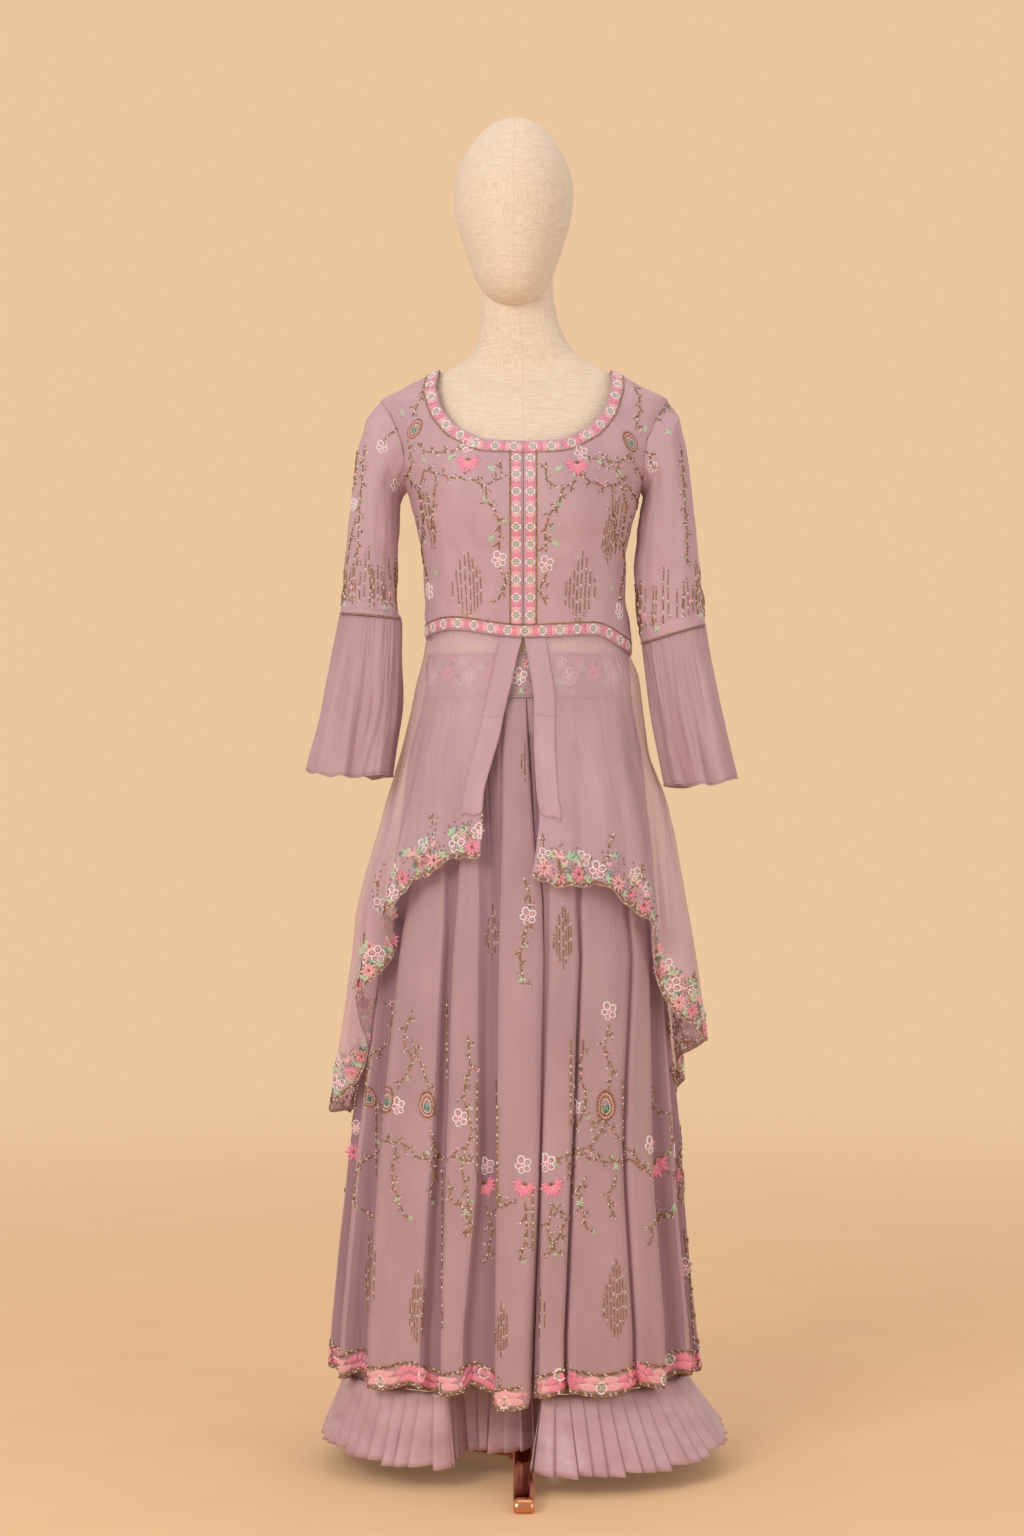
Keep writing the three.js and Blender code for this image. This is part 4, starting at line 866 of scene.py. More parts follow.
def keep_to_side(points, side, inset=0.0):
    """Points of a leg, held back from the other leg."""
    wall = inseam_x(side, points[..., 1], points[..., 2], inset)
    x = np.maximum(points[..., 0], wall) if side == "left" else np.minimum(points[..., 0], wall)
    return np.stack([x, points[..., 1], points[..., 2]], -1)


def fold_columns(side):
    """Angle and fold of each edge of the overlay, from the front split to the back."""
    heights = [650, 420, 190]
    folds = FRONT_FOLDS[side]
    columns = []
    for k, fold in enumerate(folds):
        x_at = Sizes(["z", "x"], [[heights[h], fold[h]] for h in range(3)])
        top = np.radians((k + 0.5) / (len(folds) + 0.5) * 62 if k else CENTRE_TOP[side])

        def angle(z, x_at=x_at, top=top):
            x = x_at(z, "x")
            free = np.sign(x) * angle_at_share(np.abs(x) / SKIRT(np.minimum(z, 650), side))
            return mix(free, top, smooth(650, 971, z))
        columns.append((angle, fold[3], "front"))
    last = columns[-1][0]
    count = 28
    for k in range(count):
        share = (k + 1) / (count + 0.5)
        behind = (0.95, 1, 0, 0)[k % 4] * (1.25 if k < 2 else 1)
        columns.append((lambda z, share=share: mix(last(z), np.pi - 0.02, share), behind, "side"))
    columns.append((lambda z: np.full(np.shape(z), np.pi - 0.004), 0, "side"))
    return columns


WALL_COLUMNS = 14


def leg_grid(side, z, outer, inset=0.0):
    """Closes a leg with the wall between the legs."""
    front, back = outer[:, :1], outer[:, -1:]
    share = (np.arange(WALL_COLUMNS) + 1)[None, :] / (WALL_COLUMNS + 1)
    y = mix(back[..., 1], front[..., 1], share)
    height = z + 0 * y
    wall = np.stack([inseam_x(side, y, height, inset), y, height], -1)
    return np.concatenate([outer, wall], axis=1)


def make_overlay(side):
    """The outer leg: pressed folds, gathers under the belt and a scalloped hem."""
    sign = SIGN[side]
    z = np.linspace(BELT_BOTTOM_Z - SEAM_GAP, OVERLAY_HEM_Z, 80)[:, None]
    angles, insets = [], []
    columns = fold_columns(side)
    steps = 5
    for k, (angle, behind, kind) in enumerate(columns):
        here = angle(z)
        depth = behind * FOLD_DEPTH(z, kind)
        if k + 1 == len(columns):
            angles.append(here)
            insets.append(depth)
            break
        after, behind_after, kind_after = columns[k + 1]
        for step in range(steps):
            t = step / steps
            # a pressed fold drops off at its edge, and stays low until the next fold begins
            eased = 1 - (1 - t) ** 3 if behind_after > behind else t ** 3
            angles.append(mix(here, after(z), t))
            insets.append(mix(depth, behind_after * FOLD_DEPTH(z, kind_after), eased))
    angles, insets = np.concatenate(angles, 1), np.concatenate(insets, 1)
    low_share = insets / np.maximum(FOLD_DEPTH(z, "front"), 2.5)
    plain = section(SKIRT, z, sign * angles, insets)
    arc = lengths_along(plain[-1])[None, :] + 0 * z
    flow = spread(arc, 0, z)
    # gathers drawn into the belt, which open out into long soft creases
    gathers = np.sin(arc / 8.5 * TURN + 3.2 * unevenness(flow, (60, 60, 300), 12)) * 0.5 + 0.5
    fine = 3.3 * gathers * smooth(540, 900, z) * smooth(973, 955, z)
    fine = fine + (0.9 * unevenness(flow, (9, 9, 170), 13) + 0.3) * smooth(973, 900, z)
    insets = insets + np.maximum(fine, 0)
    outer = keep_to_side(section(SKIRT, z, sign * angles, insets), side)
    grid = leg_grid(side, z, outer)
    hem = grid[-1]
    length = SCALLOP_START[side] + lengths_along(hem)
    scallop = SCALLOP_HEIGHT * np.abs(np.sin(np.pi * length / SCALLOP_PERIOD)) ** 0.8
    last_outer = outer.shape[1] - 1
    drop = scallop - SCALLOP_HEIGHT / 2
    if side == "right":
        drop = drop + CENTRE_FOLD_DROP * smooth(8, 5, np.arange(len(length)))
    falls = smooth(420, OVERLAY_HEM_Z, z)
    grid[..., 2] -= drop[None] * falls
    crotch = int(np.argmin(np.abs(z[:, 0] - CROTCH_Z)))
    turned_in = int(np.argmin(np.abs(z[:, 0] - TURNED_IN_Z)))

    def present(i, j):
        """The wall between the legs starts at the crotch, but its front edge is turned in."""
        front_edge = j > last_outer + WALL_COLUMNS - 3
        return (j < last_outer) | (i >= crotch) | (front_edge & (i >= turned_in))

    mesh = Mesh()
    # painted shade: faces that lie deep between two folds take the darker cloth
    shaded = np.zeros(grid.shape[:2], int)
    shaded[:, :insets.shape[1]] = low_share > 0.45
    mesh.wall(grid, THICK["overlay"], sign, True, present, shaded)
    piece = mesh.make("georgette_overlay_" + side, [OVERLAY_CLOTH, PAINTED_FOLD_SHADE_CLOTH])
    finish_piece(piece, ["overlay_" + side])
    remember("overlay_" + side, grid[:, :last_outer + 1], sign)
    return grid, last_outer, length


LINING_COLUMNS = 72


def lining_grid(side, heights):
    """The outside of an inner leg, with the wall between the legs."""
    sign = SIGN[side]
    z = np.asarray(heights, float)[:, None]
    angle = sign * np.linspace(0.02, np.pi - 0.02, LINING_COLUMNS)[None, :]
    points = section(SKIRT, z, angle, LINING_INSET(z, "inset"))
    if side == "right":
        drawn = 62 * smooth(-98, -72, points[..., 0]) * smooth(420, 130, z)
        points[..., 1] += np.where(points[..., 1] < 0, drawn, 0)
    split = 6 * smooth(BELT_BOTTOM_Z, CROTCH_Z, z)
    return leg_grid(side, z, keep_to_side(points, side, split), split)


def make_lining(side):
    """The plain inner leg that carries the ruffle."""
    sign = SIGN[side]
    heights = np.linspace(BELT_BOTTOM_Z - SEAM_GAP, RUFFLE_SEAM_Z, 44)
    grid = lining_grid(side, heights)
    bumps = 1.3 * unevenness(grid, (26, 26, 160), 14) * smooth(965, 900, heights)[:, None]
    grid = grid - cloth_normals(grid, sign, True) * np.maximum(bumps + 0.5, 0)[..., None]
    crotch = int(np.argmin(np.abs(heights - CROTCH_Z)))
    mesh = Mesh()
    mesh.wall(grid, THICK["lining"], sign, True,
              lambda i, j: (j < LINING_COLUMNS - 1) | (i >= crotch))
    piece = mesh.make("satin_leg_" + side, [LINING])
    finish_piece(piece, ["leg_" + side])


PLEATS = 54
# Across one pleat: how far along it each point lies, and how far it stands out
PLEAT_SHAPE = [(0.0, 0.12), (0.3, 0.45), (0.6, 0.78), (0.88, 0.98), (0.99, 1.0), (1.0, 0.8),
               (0.95, 0.3), (0.93, 0.08)]


def along_outline(points, share):
    """The points at shares of the length of a closed outline, and the way along it."""
    after = np.roll(points, -1, 0)
    ends = np.concatenate([[0], np.cumsum(np.linalg.norm(after - points, axis=1))])
    spot = (np.asarray(share) % 1) * ends[-1]
    k = np.clip(np.searchsorted(ends, spot, side="right") - 1, 0, len(points) - 1)
    along = unit(after[k] - points[k])
    return points[k] + along * (spot - ends[k])[:, None], along


def make_ruffle(side):
    """The knife-pleated ruffle at the foot of an inner leg."""
    sign = SIGN[side]
    seam = lining_grid(side, [RUFFLE_SEAM_Z])[0]
    out_to, front_to, back_to, inner_to = FLARE[side]
    pleat = np.repeat(np.arange(PLEATS), len(PLEAT_SHAPE))
    across = np.tile([s for s, _ in PLEAT_SHAPE], PLEATS)
    raised = np.tile([h for _, h in PLEAT_SHAPE], PLEATS)
    share = (pleat + across) / PLEATS
    spot, along = along_outline(seam, share)
    for away in (-0.02, -0.01, 0.01, 0.02):
        along = along + along_outline(seam, share + away)[1]
    along = unit(along)
    out = np.stack([along[:, 1] * sign, -along[:, 0] * sign, 0 * share], -1)
    sideways, forwards = out[:, 0] * sign, -out[:, 1]
    reach = (np.maximum(sideways, 0) * out_to + np.maximum(-sideways, 0) * inner_to
             + np.maximum(forwards, 0) * front_to + np.maximum(-forwards, 0) * back_to)
    if side == "right":
        inside = (smooth(-118, -104, spot[:, 0]) * smooth(2, -6, spot[:, 1])
                  * smooth(-118, -104, spot[:, 1]))
        reach = mix(reach, 3, inside * 0.9)
    inner = smooth(0.5, 0.7, -sideways)
    top_height = mix(2.4, 1.0, inner) * raised
    hem_height = mix(8.5, 2.5, inner) * raised
    down = np.linspace(0, 1, 14)[:, None]
    # each pleat fans a little to one side, and the hem rises and dips with it
    sway = 4.0 * np.sin(pleat * 1.7) + 3.0 * np.sin(pleat * 0.63 + 2)
    lift = 2.0 * np.sin(pleat * 2.1) + 1.6 * raised
    offset = down ** 1.1 * (reach + hem_height)[None] + (1 - down) * top_height[None]
    grid = spot[None] + out[None] * offset[..., None]
    grid += along[None] * (down ** 1.5 * sway[None] * 0.5 * (1 - inner))[..., None]
    hem_z = RUFFLE_HEM(spot[:, 1] + out[:, 1] * reach, "z") - lift
    grid[..., 2] = mix(RUFFLE_SEAM_Z - SEAM_GAP, hem_z[None], down)
    mesh = Mesh()
    mesh.wall(grid, THICK["ruffle"], sign, True)
    piece = mesh.make("satin_ruffle_" + side, [PLEATED])
    finish_piece(piece, ["ruffle_" + side])


# Beadwork

# Each kind of bead or stitch is a small mesh: +X along it, +Z out of the cloth, size 1

def dome(rings=((1.0, 0.0), (0.78, 0.62)), around=5, top=0.95):
    """A bead or sequin: rings of points, closed by one point on top."""
    angle = np.arange(around) / around * TURN
    points = [spread(r * np.cos(angle), r * np.sin(angle), h) for r, h in rings]
    points = np.concatenate([*points, [[0, 0, top]]])
    faces = []
    for k in range(around):
        n = (k + 1) % around
        faces.append([k, n, around + n])
        faces.append([k, around + n, around + k])
        faces.append([around + k, around + n, 2 * around])
    return points, np.array(faces)


def leaf_shape(width, height):
    """A satin-stitch leaf from the origin to 1 along X, raised along its middle."""
    side = [(0.0, 0.0), (0.22, 0.72), (0.5, 1.0), (0.78, 0.7), (1.0, 0.0)]
    points = [[0, 0, 0.02]]
    for x, w in side[1:-1]:
        points += [[x, w * width, 0.02], [x, 0, height * (0.7 + 0.3 * w)], [x, -w * width, 0.02]]
    points.append([1, 0, 0.03])
    faces = [[0, 2, 1], [0, 3, 2]]
    for k in (1, 4):
        faces += [[k, k + 1, k + 4], [k, k + 4, k + 3]]
        faces += [[k + 1, k + 2, k + 5], [k + 1, k + 5, k + 4]]
    faces += [[7, 8, 10], [8, 9, 10]]
    return np.array(points, float), np.array(faces)


def stitch_shape(width, height):
    """A bugle bead or one stitch, 1 long and centred."""
    x, w, m = 0.5, width / 2, 0.36
    points = [[-x, -w, 0], [x, -w, 0], [x, w, 0], [-x, w, 0], [-m, 0, height], [m, 0, height]]
    faces = [[0, 1, 5], [0, 5, 4], [2, 3, 4], [2, 4, 5], [1, 2, 5], [3, 0, 4]]
    return np.array(points, float), np.array(faces)


SHAPES = {
    "bead": dome(),
    "disc": dome(((1.0, 0.0), (0.9, 0.25)), 7, 0.3),
    "petal": leaf_shape(0.165, 0.13),
    "leaf": leaf_shape(0.26, 0.12),
    "stitch": stitch_shape(0.5, 0.4),
}


class Beadwork:
    """Beads and stitches sewn on a cloth, gathered up and then made as one piece."""

    def __init__(self, name):
        points, faces, start = [], [], 0
        for some, cells in CLOTH[name]:
            points.append(some)
            faces.extend((cells + start).tolist())
            start += len(some)
        self.tree = BVHTree.FromPolygons(np.concatenate(points).tolist(), faces)
        self.rows = {shape: [] for shape in SHAPES}

    def nearest(self, point):
        """The nearest point of the cloth, and the way the cloth faces there."""
        spot, normal, _, _ = self.tree.find_nearest(Vector(point))
        return np.array(spot), np.array(normal)

    def met_by(self, start, aim):
        """Where a ray meets the cloth, and the way the cloth faces there, or None."""
        spot, normal, _, _ = self.tree.ray_cast(Vector(start), Vector(aim))
        return None if spot is None else (np.array(spot), np.array(normal))

    def from_camera(self, px, py):
        """Where the line of sight through a pixel of the photograph meets the cloth."""
        aim = np.array([CAMERA_AT[0] + (px - PHOTO_CENTRE[0]) * MM_PER_PIXEL, 0.0,
                        CAMERA_AT[2] + (PHOTO_CENTRE[1] - py) * MM_PER_PIXEL])
        return self.met_by(CAMERA_AT, unit(aim - CAMERA_AT))

    def from_round(self, degrees, z, centre=(0.0, 0.0)):
        """Where a level line towards the body meets the cloth."""
        a = np.radians(degrees)
        start = np.array([centre[0] + 600 * np.sin(a), centre[1] - 600 * np.cos(a), z])
        return self.met_by(start, np.array([-np.sin(a), np.cos(a), 0.0]))

    def sew(self, spot, normal, elements, turned=0.0, up=(0, 0, 1)):
        """Sews a motif: elements are (shape, thread, x, y, angle, size), x across and y up."""
        across = unit(np.cross(np.array(up, float), normal))
        rise = np.cross(normal, across)
        cos, sin = np.cos(turned), np.sin(turned)
        for shape, thread_name, x, y, angle, extent in elements:
            a, b = x * cos - y * sin, x * sin + y * cos
            here, facing = spot, normal
            # what lies off the middle follows the cloth, and is left out where it folds away
            if abs(a) + abs(b) > 0.8:
                here, facing = self.nearest(spot + across * a + rise * b)
                if facing @ normal < 0.2:
                    continue
            along = across * np.cos(angle + turned) + rise * np.sin(angle + turned)
            along = unit(along - facing * (along @ facing))
            self.rows[shape].append(
                [*here, *along, *facing, extent, THREAD_NAMES.index(thread_name)])

    def string(self, path, thread_name=None, step=2.6, size=3.6):
        """Sews a line of one kind of bead, or else of mixed ones, along points on the cloth."""
        path = np.asarray(path, float)
        ends = lengths_along(path)
        if ends[-1] < step:
            return
        spots = np.arange(step / 2, ends[-1], step)
        points, ways = point_at(path, ends, spots), way_at(path, ends, spots, 0.5)
        for k, (point, way) in enumerate(zip(points, ways)):
            here, facing = self.nearest(point)
            along = unit(way - facing * (way @ facing))
            name = thread_name or mixed_bead(k + int(abs(path[0, 2])))
            self.rows["stitch"].append([*here, *along, *facing, size, THREAD_NAMES.index(name)])

    def make(self, name, slot="embroidered_band"):
        """Makes all the beads and stitches as one piece."""
        mesh = Mesh()
        for shape, rows in self.rows.items():
            if not rows:
                continue
            table = np.array(rows)
            spot, along, facing = table[:, :3], table[:, 3:6], table[:, 6:9]
            extent, kinds = table[:, 9], table[:, 10].astype(int)
            beside = np.cross(facing, along)
            points, faces = SHAPES[shape]
            placed = (along[:, None] * points[None, :, :1] + beside[:, None] * points[None, :, 1:2]
                      + facing[:, None] * points[None, :, 2:]) * extent[:, None, None]
            placed = placed + (spot + facing * 0.12)[:, None]
            for kind in np.unique(kinds):
                some = placed[kinds == kind]
                offsets = (np.arange(len(some)) * len(points))[:, None, None]
                mesh.add(some, (faces[None] + offsets).reshape(-1, 3), int(kind))
        piece = mesh.make(name, [THREADS[n] for n in THREAD_NAMES])
        finish_piece(piece)


def bead_rose(middle, radius, petals=6):
    """A rose of loops of white beads, with silk inside them and a coloured eye."""
    elements = []
    for k in range(petals):
        a = (k + 0.5) / petals * TURN
        reach = radius * (1.0 + 0.12 * np.sin(a) + 0.08 * np.sin(2.3 * k))
        cos, sin = np.cos(a), np.sin(a)
        elements.append(("petal", "deep_pink" if k % 3 else "pale_pink",
                         0.26 * reach * cos, 0.26 * reach * sin, a, 0.62 * reach))
        for n in range(8):
            b = n / 8 * TURN
            x = 0.62 * reach + 0.4 * reach * np.cos(b)
            y = 0.35 * reach * np.sin(b)
            elements.append(("stitch", "white", x * cos - y * sin, x * sin + y * cos,
                             a + np.arctan2(0.35 * np.cos(b), -0.4 * np.sin(b)), 0.34 * reach))
    elements.append(("disc", middle, 0, 0, 0, radius * 0.24))
    return elements


def silk_flower(thread_name, radius, petals=11):
    """A flower of pointed satin-stitch petals round a few metal beads."""
    elements = []
    for k in range(petals):
        a = k / petals * TURN
        elements.append(("petal", thread_name, 0.1 * radius * np.cos(a), 0.1 * radius * np.sin(a),
                         a, radius * (0.92 if k % 2 else 0.78)))
    for k in range(4):
        a = (k + 0.3) / 4 * TURN
        elements.append(("stitch", "gold", 0.1 * radius * np.cos(a), 0.1 * radius * np.sin(a), a,
                         radius * 0.2))
    return elements


def lotus(radius):
    """A deep pink flower that fans out to the sides and down from gold beads at its top."""
    elements = []
    for k in range(11):
        a = np.radians(-208 + 23.6 * k)
        cos, sin = np.cos(a), np.sin(a)
        elements.append(("petal", "deep_pink", 0.2 * radius * cos, 0.2 * radius * sin, a,
                         radius * (0.9 if k % 2 else 0.74)))
    for k in range(7):
        a = np.radians(-190 + 33 * k)
        elements.append(("petal", "pale_pink" if k % 2 else "deep_pink", 0, 0.4, a, radius * 0.5))
    for k in range(5):
        a = np.radians(30 + 30 * k)
        elements.append(("stitch", "gold", 2.6 * np.cos(a), 2.6 * np.sin(a), a, 3.4))
    return elements


def leaf_spray(thread_name, length, count):
    """Leaves that fan out upwards from one point."""
    return [("leaf", thread_name, 0, 0, (k - (count - 1) / 2) * 0.95 + np.pi / 2, length)
            for k in range(count)]


def buds(length):
    """Three pink buds on a short gold stem."""
    elements = [("stitch", "gold", 0, -0.5 * length, np.pi / 2, length)]
    for k, tone in enumerate(("deep_pink", "pale_pink", "deep_pink")):
        elements.append(("petal", tone, 0, 0, np.pi / 2 + (k - 1) * 0.9, length))
    return elements


def diamond(width, height):
    """A lozenge outlined with white beads round mint stitches."""
    elements = []
    for k in range(4):
        a = (k + 0.5) * TURN / 4
        elements.append(("leaf", "green", -0.5 * np.cos(a), -0.5 * np.sin(a), a, width * 0.66))
    corners = [(width, 0), (0, height), (-width, 0), (0, -height)]
    for k in range(4):
        (x0, y0), (x1, y1) = corners[k], corners[(k + 1) % 4]
        angle = np.arctan2(y1 - y0, x1 - x0)
        for t, lean in ((0.24, -0.28), (0.76, 0.28)):
            elements.append(("stitch", "white", mix(x0, x1, t) * 1.12, mix(y0, y1, t) * 1.12,
                             angle + lean, width * 0.7))
    return elements


def green_circle(radius=4.6):
    """A mint knot ringed by silver-lined beads."""
    elements = [("disc", "green", 0, 0, 0, radius * 0.72)]
    for k in range(7):
        a = k / 7 * TURN
        elements.append(("bead", "silver" if k % 2 else "pearl", radius * 0.8 * np.cos(a),
                         radius * 0.8 * np.sin(a), 0, radius * 0.24))
    return elements


def paisley(size, bend):
    """A curled drop: rings of gold, pink and pearl beads round a teal heart."""
    elements = []
    for ring, name in enumerate(("gold", "pale_pink", "gold", "pearl", "gold")):
        reach = size * (1 - 0.16 * ring)
        count = 26 - 4 * ring
        for k in range(count):
            a = k / count * TURN
            r = reach * (0.7 + 0.3 * max(np.cos(a), 0) ** 3)
            x, y = r * np.sin(a) * 0.85 * bend, r * np.cos(a)
            elements.append(("stitch", name, x + 0.16 * y * bend, y, -a * bend, reach * 0.27))
    for x, y in ((0, -0.12), (0.04, 0.06), (-0.1, -0.02), (0.1, -0.05)):
        elements.append(("disc", "teal", x * size * bend, y * size, 0, size * 0.15))
    return elements


def mixed_bead(k):
    """The bead at place k of a vine or hanging row: gold, with a glint now and then."""
    chance = (k * 0.618034) % 1
    if chance < 0.78:
        return "gold"
    return "silver" if chance < 0.9 else "pearl"


def twig_line(work, points, seed, gap=10.0, reach=8.5):
    """A gold vine through points on the cloth, with side twigs that end in beads."""
    if len(points) < 3:
        return
    work.string(points, step=2.5, size=3.7)
    points = np.asarray(points)
    ends = lengths_along(points)
    side = 1
    for k, spot in enumerate(np.arange(gap * 0.6, ends[-1], gap)):
        ahead = way_at(points, ends, spot, 1)
        base, facing = work.nearest(point_at(points, ends, spot))
        aside = np.cross(facing, ahead) * side
        long = reach * (1 + 0.35 * np.sin(k * 2.1 + seed))
        tip = base + (ahead * 0.7 + aside * 0.75) * long
        fork = base + (ahead * 0.15 + aside * 0.95) * long * 0.8
        middle = (base + tip) / 2 + ahead * 0.8
        work.string([base, middle, tip], step=2.3, size=3.1)
        if k % 2 == 0:
            work.string([middle, fork], step=2.3, size=2.9)
        end, out = work.nearest(tip)
        if k % 7 == 6:
            work.sew(end, out, green_circle(3.4))
        elif k % 5 == 2:
            work.sew(end, out, [("petal", "pale_pink", 0, 0, seed + k + n, 5.0) for n in range(2)])
        else:
            work.sew(end, out, [("bead", ("pearl", "silver")[(k + n) % 2],
                                 1.6 * np.cos(n * 2.4 + k), 1.6 * np.sin(n * 2.4 + k), 0, 1.15)
                                for n in range(2 + k % 2)])
        side = -side


RAIN_STEP = 2.6


def bead_rain(work, hits, lengths):
    """Hanging rows of beads: each starts at a point and runs down its own length."""
    for row, ((spot, normal), length) in enumerate(zip(hits, lengths)):
        lift = 7 * np.sin(row * 2.4 + spot[0])
        for k in range(int((length + lift) / RAIN_STEP)):
            here, facing = work.nearest(spot - np.array([0, 0, k * RAIN_STEP - lift * 0.6]))
            kind = mixed_bead(k * 3 + row * 7)
            if kind == "gold":
                work.sew(here, facing, [("stitch", kind, 0, 0, np.pi / 2, 2.9)])
            else:
                work.sew(here, facing, [("bead", kind, 0, 0, 0, 1.2)])


class Border:
    """A line on the cloth, read by the length along it and the distance beside it."""

    def __init__(self, work, points):
        self.work, self.points = work, np.asarray(points, float)
        self.ends = lengths_along(self.points)
        self.length = self.ends[-1]

    def at(self, along, beside, side):
        """A point beside the line, the way the cloth faces there, and the way off the line."""
        way = way_at(self.points, self.ends, along, min(3.0, self.length / 4))
        here, facing = self.work.nearest(point_at(self.points, self.ends, along))
        aside = unit(np.cross(facing, way)) * side
        if beside:
            here, facing = self.work.nearest(here + aside * beside)
        return here, facing, aside

    def line(self, beside, side, thread_name="gold", step=2.8, end=None):
        """A row of beads at one distance beside the line."""
        stop = self.length if end is None else end
        path = [self.at(s, beside, side)[0] for s in np.arange(0.0, stop, 5.0)]
        path.append(self.at(stop, beside, side)[0])
        self.work.string(path, thread_name, step, 3.7)

    def motif(self, along, beside, elements, side=1, turned=0.0):
        """A motif whose upright points off the line."""
        here, facing, aside = self.at(along, beside, side)
        self.work.sew(here, facing, elements, turned, up=aside)


# Where the wings start from the middle of their lozenge, and how far apart they spread
WING_START = 4.6
WING_SPREAD = 3.4


def wings(tone, length):
    """Silk petals that run out to both sides of a lozenge and fill a narrow border."""
    elements = []
    for way in (-1, 1):
        angle = 0 if way > 0 else np.pi
        for share, lean in ((-1, -0.22), (-0.5, -0.05), (0, 0.0), (0.5, 0.05), (1, 0.22)):
            y = share * WING_SPREAD
            elements.append(("petal", tone, way * (WING_START - abs(y) * 0.35), y,
                             angle + lean * way, length))
    return elements


def narrow_border(work, points, width, side, period, gap_end=0):
    """The border of the neck and waist: lozenges between pink wings, inside a gold line."""
    border = Border(work, points)
    count = int(round((border.length - gap_end) / period))
    period = (border.length - gap_end) / count
    for k in range(count):
        tone = "pale_pink" if k % 2 else "deep_pink"
        spot = (k + 0.5) * period
        border.motif(spot, width * 0.5, wings(tone, period / 2 - WING_START + 1.5), side)
        border.motif(spot, width * 0.5, diamond(5.4, 5.6), side)
    border.line(width - 0.6, side, end=border.length - gap_end)


def make_bodice_beadwork():
    """The borders of the waist, neck and opening, and the flowers of the front and back."""
    work = Beadwork("bodice")
    waist = [waist_point(a) for a in np.linspace(-np.pi, np.pi, 220)]
    narrow_border(work, waist, 17, 1, 22.5)
    # neck: down the front from one shoulder to the other, and round the back
    half = {(face, side): bodice_half(face, side)
            for face in ("front", "back") for side in (1, -1)}
    for face, side, rows in (("front", -1, 31), ("back", 1, 19)):
        neck = [half[face, side][:rows, 0], half[face, -side][rows - 1::-1, 0]]
        narrow_border(work, np.concatenate(neck), 17, -1, 22.5)
    # placket: a strip down each side of the centre opening
    for side in (1, -1):
        centre = half["front", side][32:, 0] + np.array([side * 0.8, 0, 0])
        narrow_border(work, centre, 16, side, 23, gap_end=17)
    sew_front(work, "bodice")
    sew_bodice_back(work)
    work.make("beadwork_bodice", "georgette")


def found(hits):
    """The rays that met the cloth."""
    return [hit for hit in hits if hit]


def seen(work, pixels):
    """The points of the cloth behind some pixels of the photograph."""
    return found([work.from_camera(px, py) for px, py in pixels])


def sew_seen(work, elements, *places):
    """Sews a motif at pixels of the photograph, each with how far it is turned, if it is."""
    for px, py, *turn in places:
        for spot, normal in seen(work, [(px, py)]):
            work.sew(spot, normal, elements, *turn)


def vine_seen(work, pixels, **options):
    """A vine along a smooth line through pixels of the photograph."""
    curve = Sizes(["k", "x", "y"], [[k, *pixel] for k, pixel in enumerate(pixels)])
    steps = np.linspace(0, len(pixels) - 1, 8 * len(pixels))
    hits = seen(work, [(curve(k, "x"), curve(k, "y")) for k in steps])
    twig_line(work, [spot for spot, _ in hits], **options)


def rain_seen(work, left, right, top, bottom, columns):
    """Bead rain in the shape of a lozenge, between pixels of the photograph."""
    spots, lengths = [], []
    for k in range(columns):
        t = (k + 0.5) / columns
        lift = abs(2 * t - 1)
        start = mix(top, mix(top, bottom, 0.42), lift) + 5 * np.sin(5 * t + 1)
        stop = mix(bottom, mix(top, bottom, 0.7), lift)
        for hit in seen(work, [(mix(left, right, t), start)]):
            spots.append(hit)
            lengths.append((stop - start) * MM_PER_PIXEL)
    bead_rain(work, spots, lengths)


# What is sewn on each panel, at pixels of the photograph. A flower's place may end with its
# turn. A vine has the seed that shapes its twigs, the gap between them and its points. Rain
# has its left, right, top and bottom, and its number of rows.
FLOWERS = {
    "bodice": [
        (lotus(15.5), (468, 461), (577, 464)),
        (bead_rose("deep_pink", 8.6, 5), (467, 446), (581, 453)),
        (bead_rose("pale_pink", 9.6, 5), (499, 560), (546, 565), (429, 592), (619, 612)),
        (paisley(15, 1), (414, 430, -0.3)),
        (paisley(15, -1), (631, 443, 0.3)),
        (green_circle(), (424, 460), (485, 500), (559, 504), (619, 474), (402, 413), (646, 429)),
        (silk_flower("pale_pink", 4.6, 6), (498, 516), (546, 520), (446, 478), (602, 484)),
        (leaf_spray("green", 7, 3), (452, 458, 0.9), (490, 470, -0.7), (560, 470, 0.7),
         (598, 462, -0.9), (492, 540, 0.5), (555, 545, -0.5), (437, 575, 0.4), (611, 590, -0.4)),
    ],
    "overlay_right": [
        (paisley(18, 1), (387, 1102, 0.2)),
        (paisley(18, -1), (427, 1107, -0.2)),
        (lotus(14.5), (485, 1185, 0.35), (524, 1186, -0.3)),
        (bead_rose("deep_pink", 10, 5), (486, 1167), (523, 1166), (528, 917), (398, 1107),
         (460, 1119)),
        (green_circle(5), (397, 1200), (466, 1213), (522, 980)),
        (silk_flower("pale_pink", 7, 6), (392, 1004)),
        (bead_rose("deep_pink", 8.5, 5), (539, 1116)),
    ],
    "overlay_left": [
        (paisley(20, 1), (606, 1108, 0.3)),
        (lotus(14.5), (552, 1186, 0.35)),
        (lotus(18), (655, 1165, 0.5)),
        (bead_rose("deep_pink", 10.5, 5), (547, 1164), (651, 1146), (609, 1012), (687, 1268)),
        (green_circle(5.2), (616, 1167), (580, 1203), (674, 1209)),
        (bead_rose("deep_pink", 8.5, 5), (576, 1108)),
    ],
}
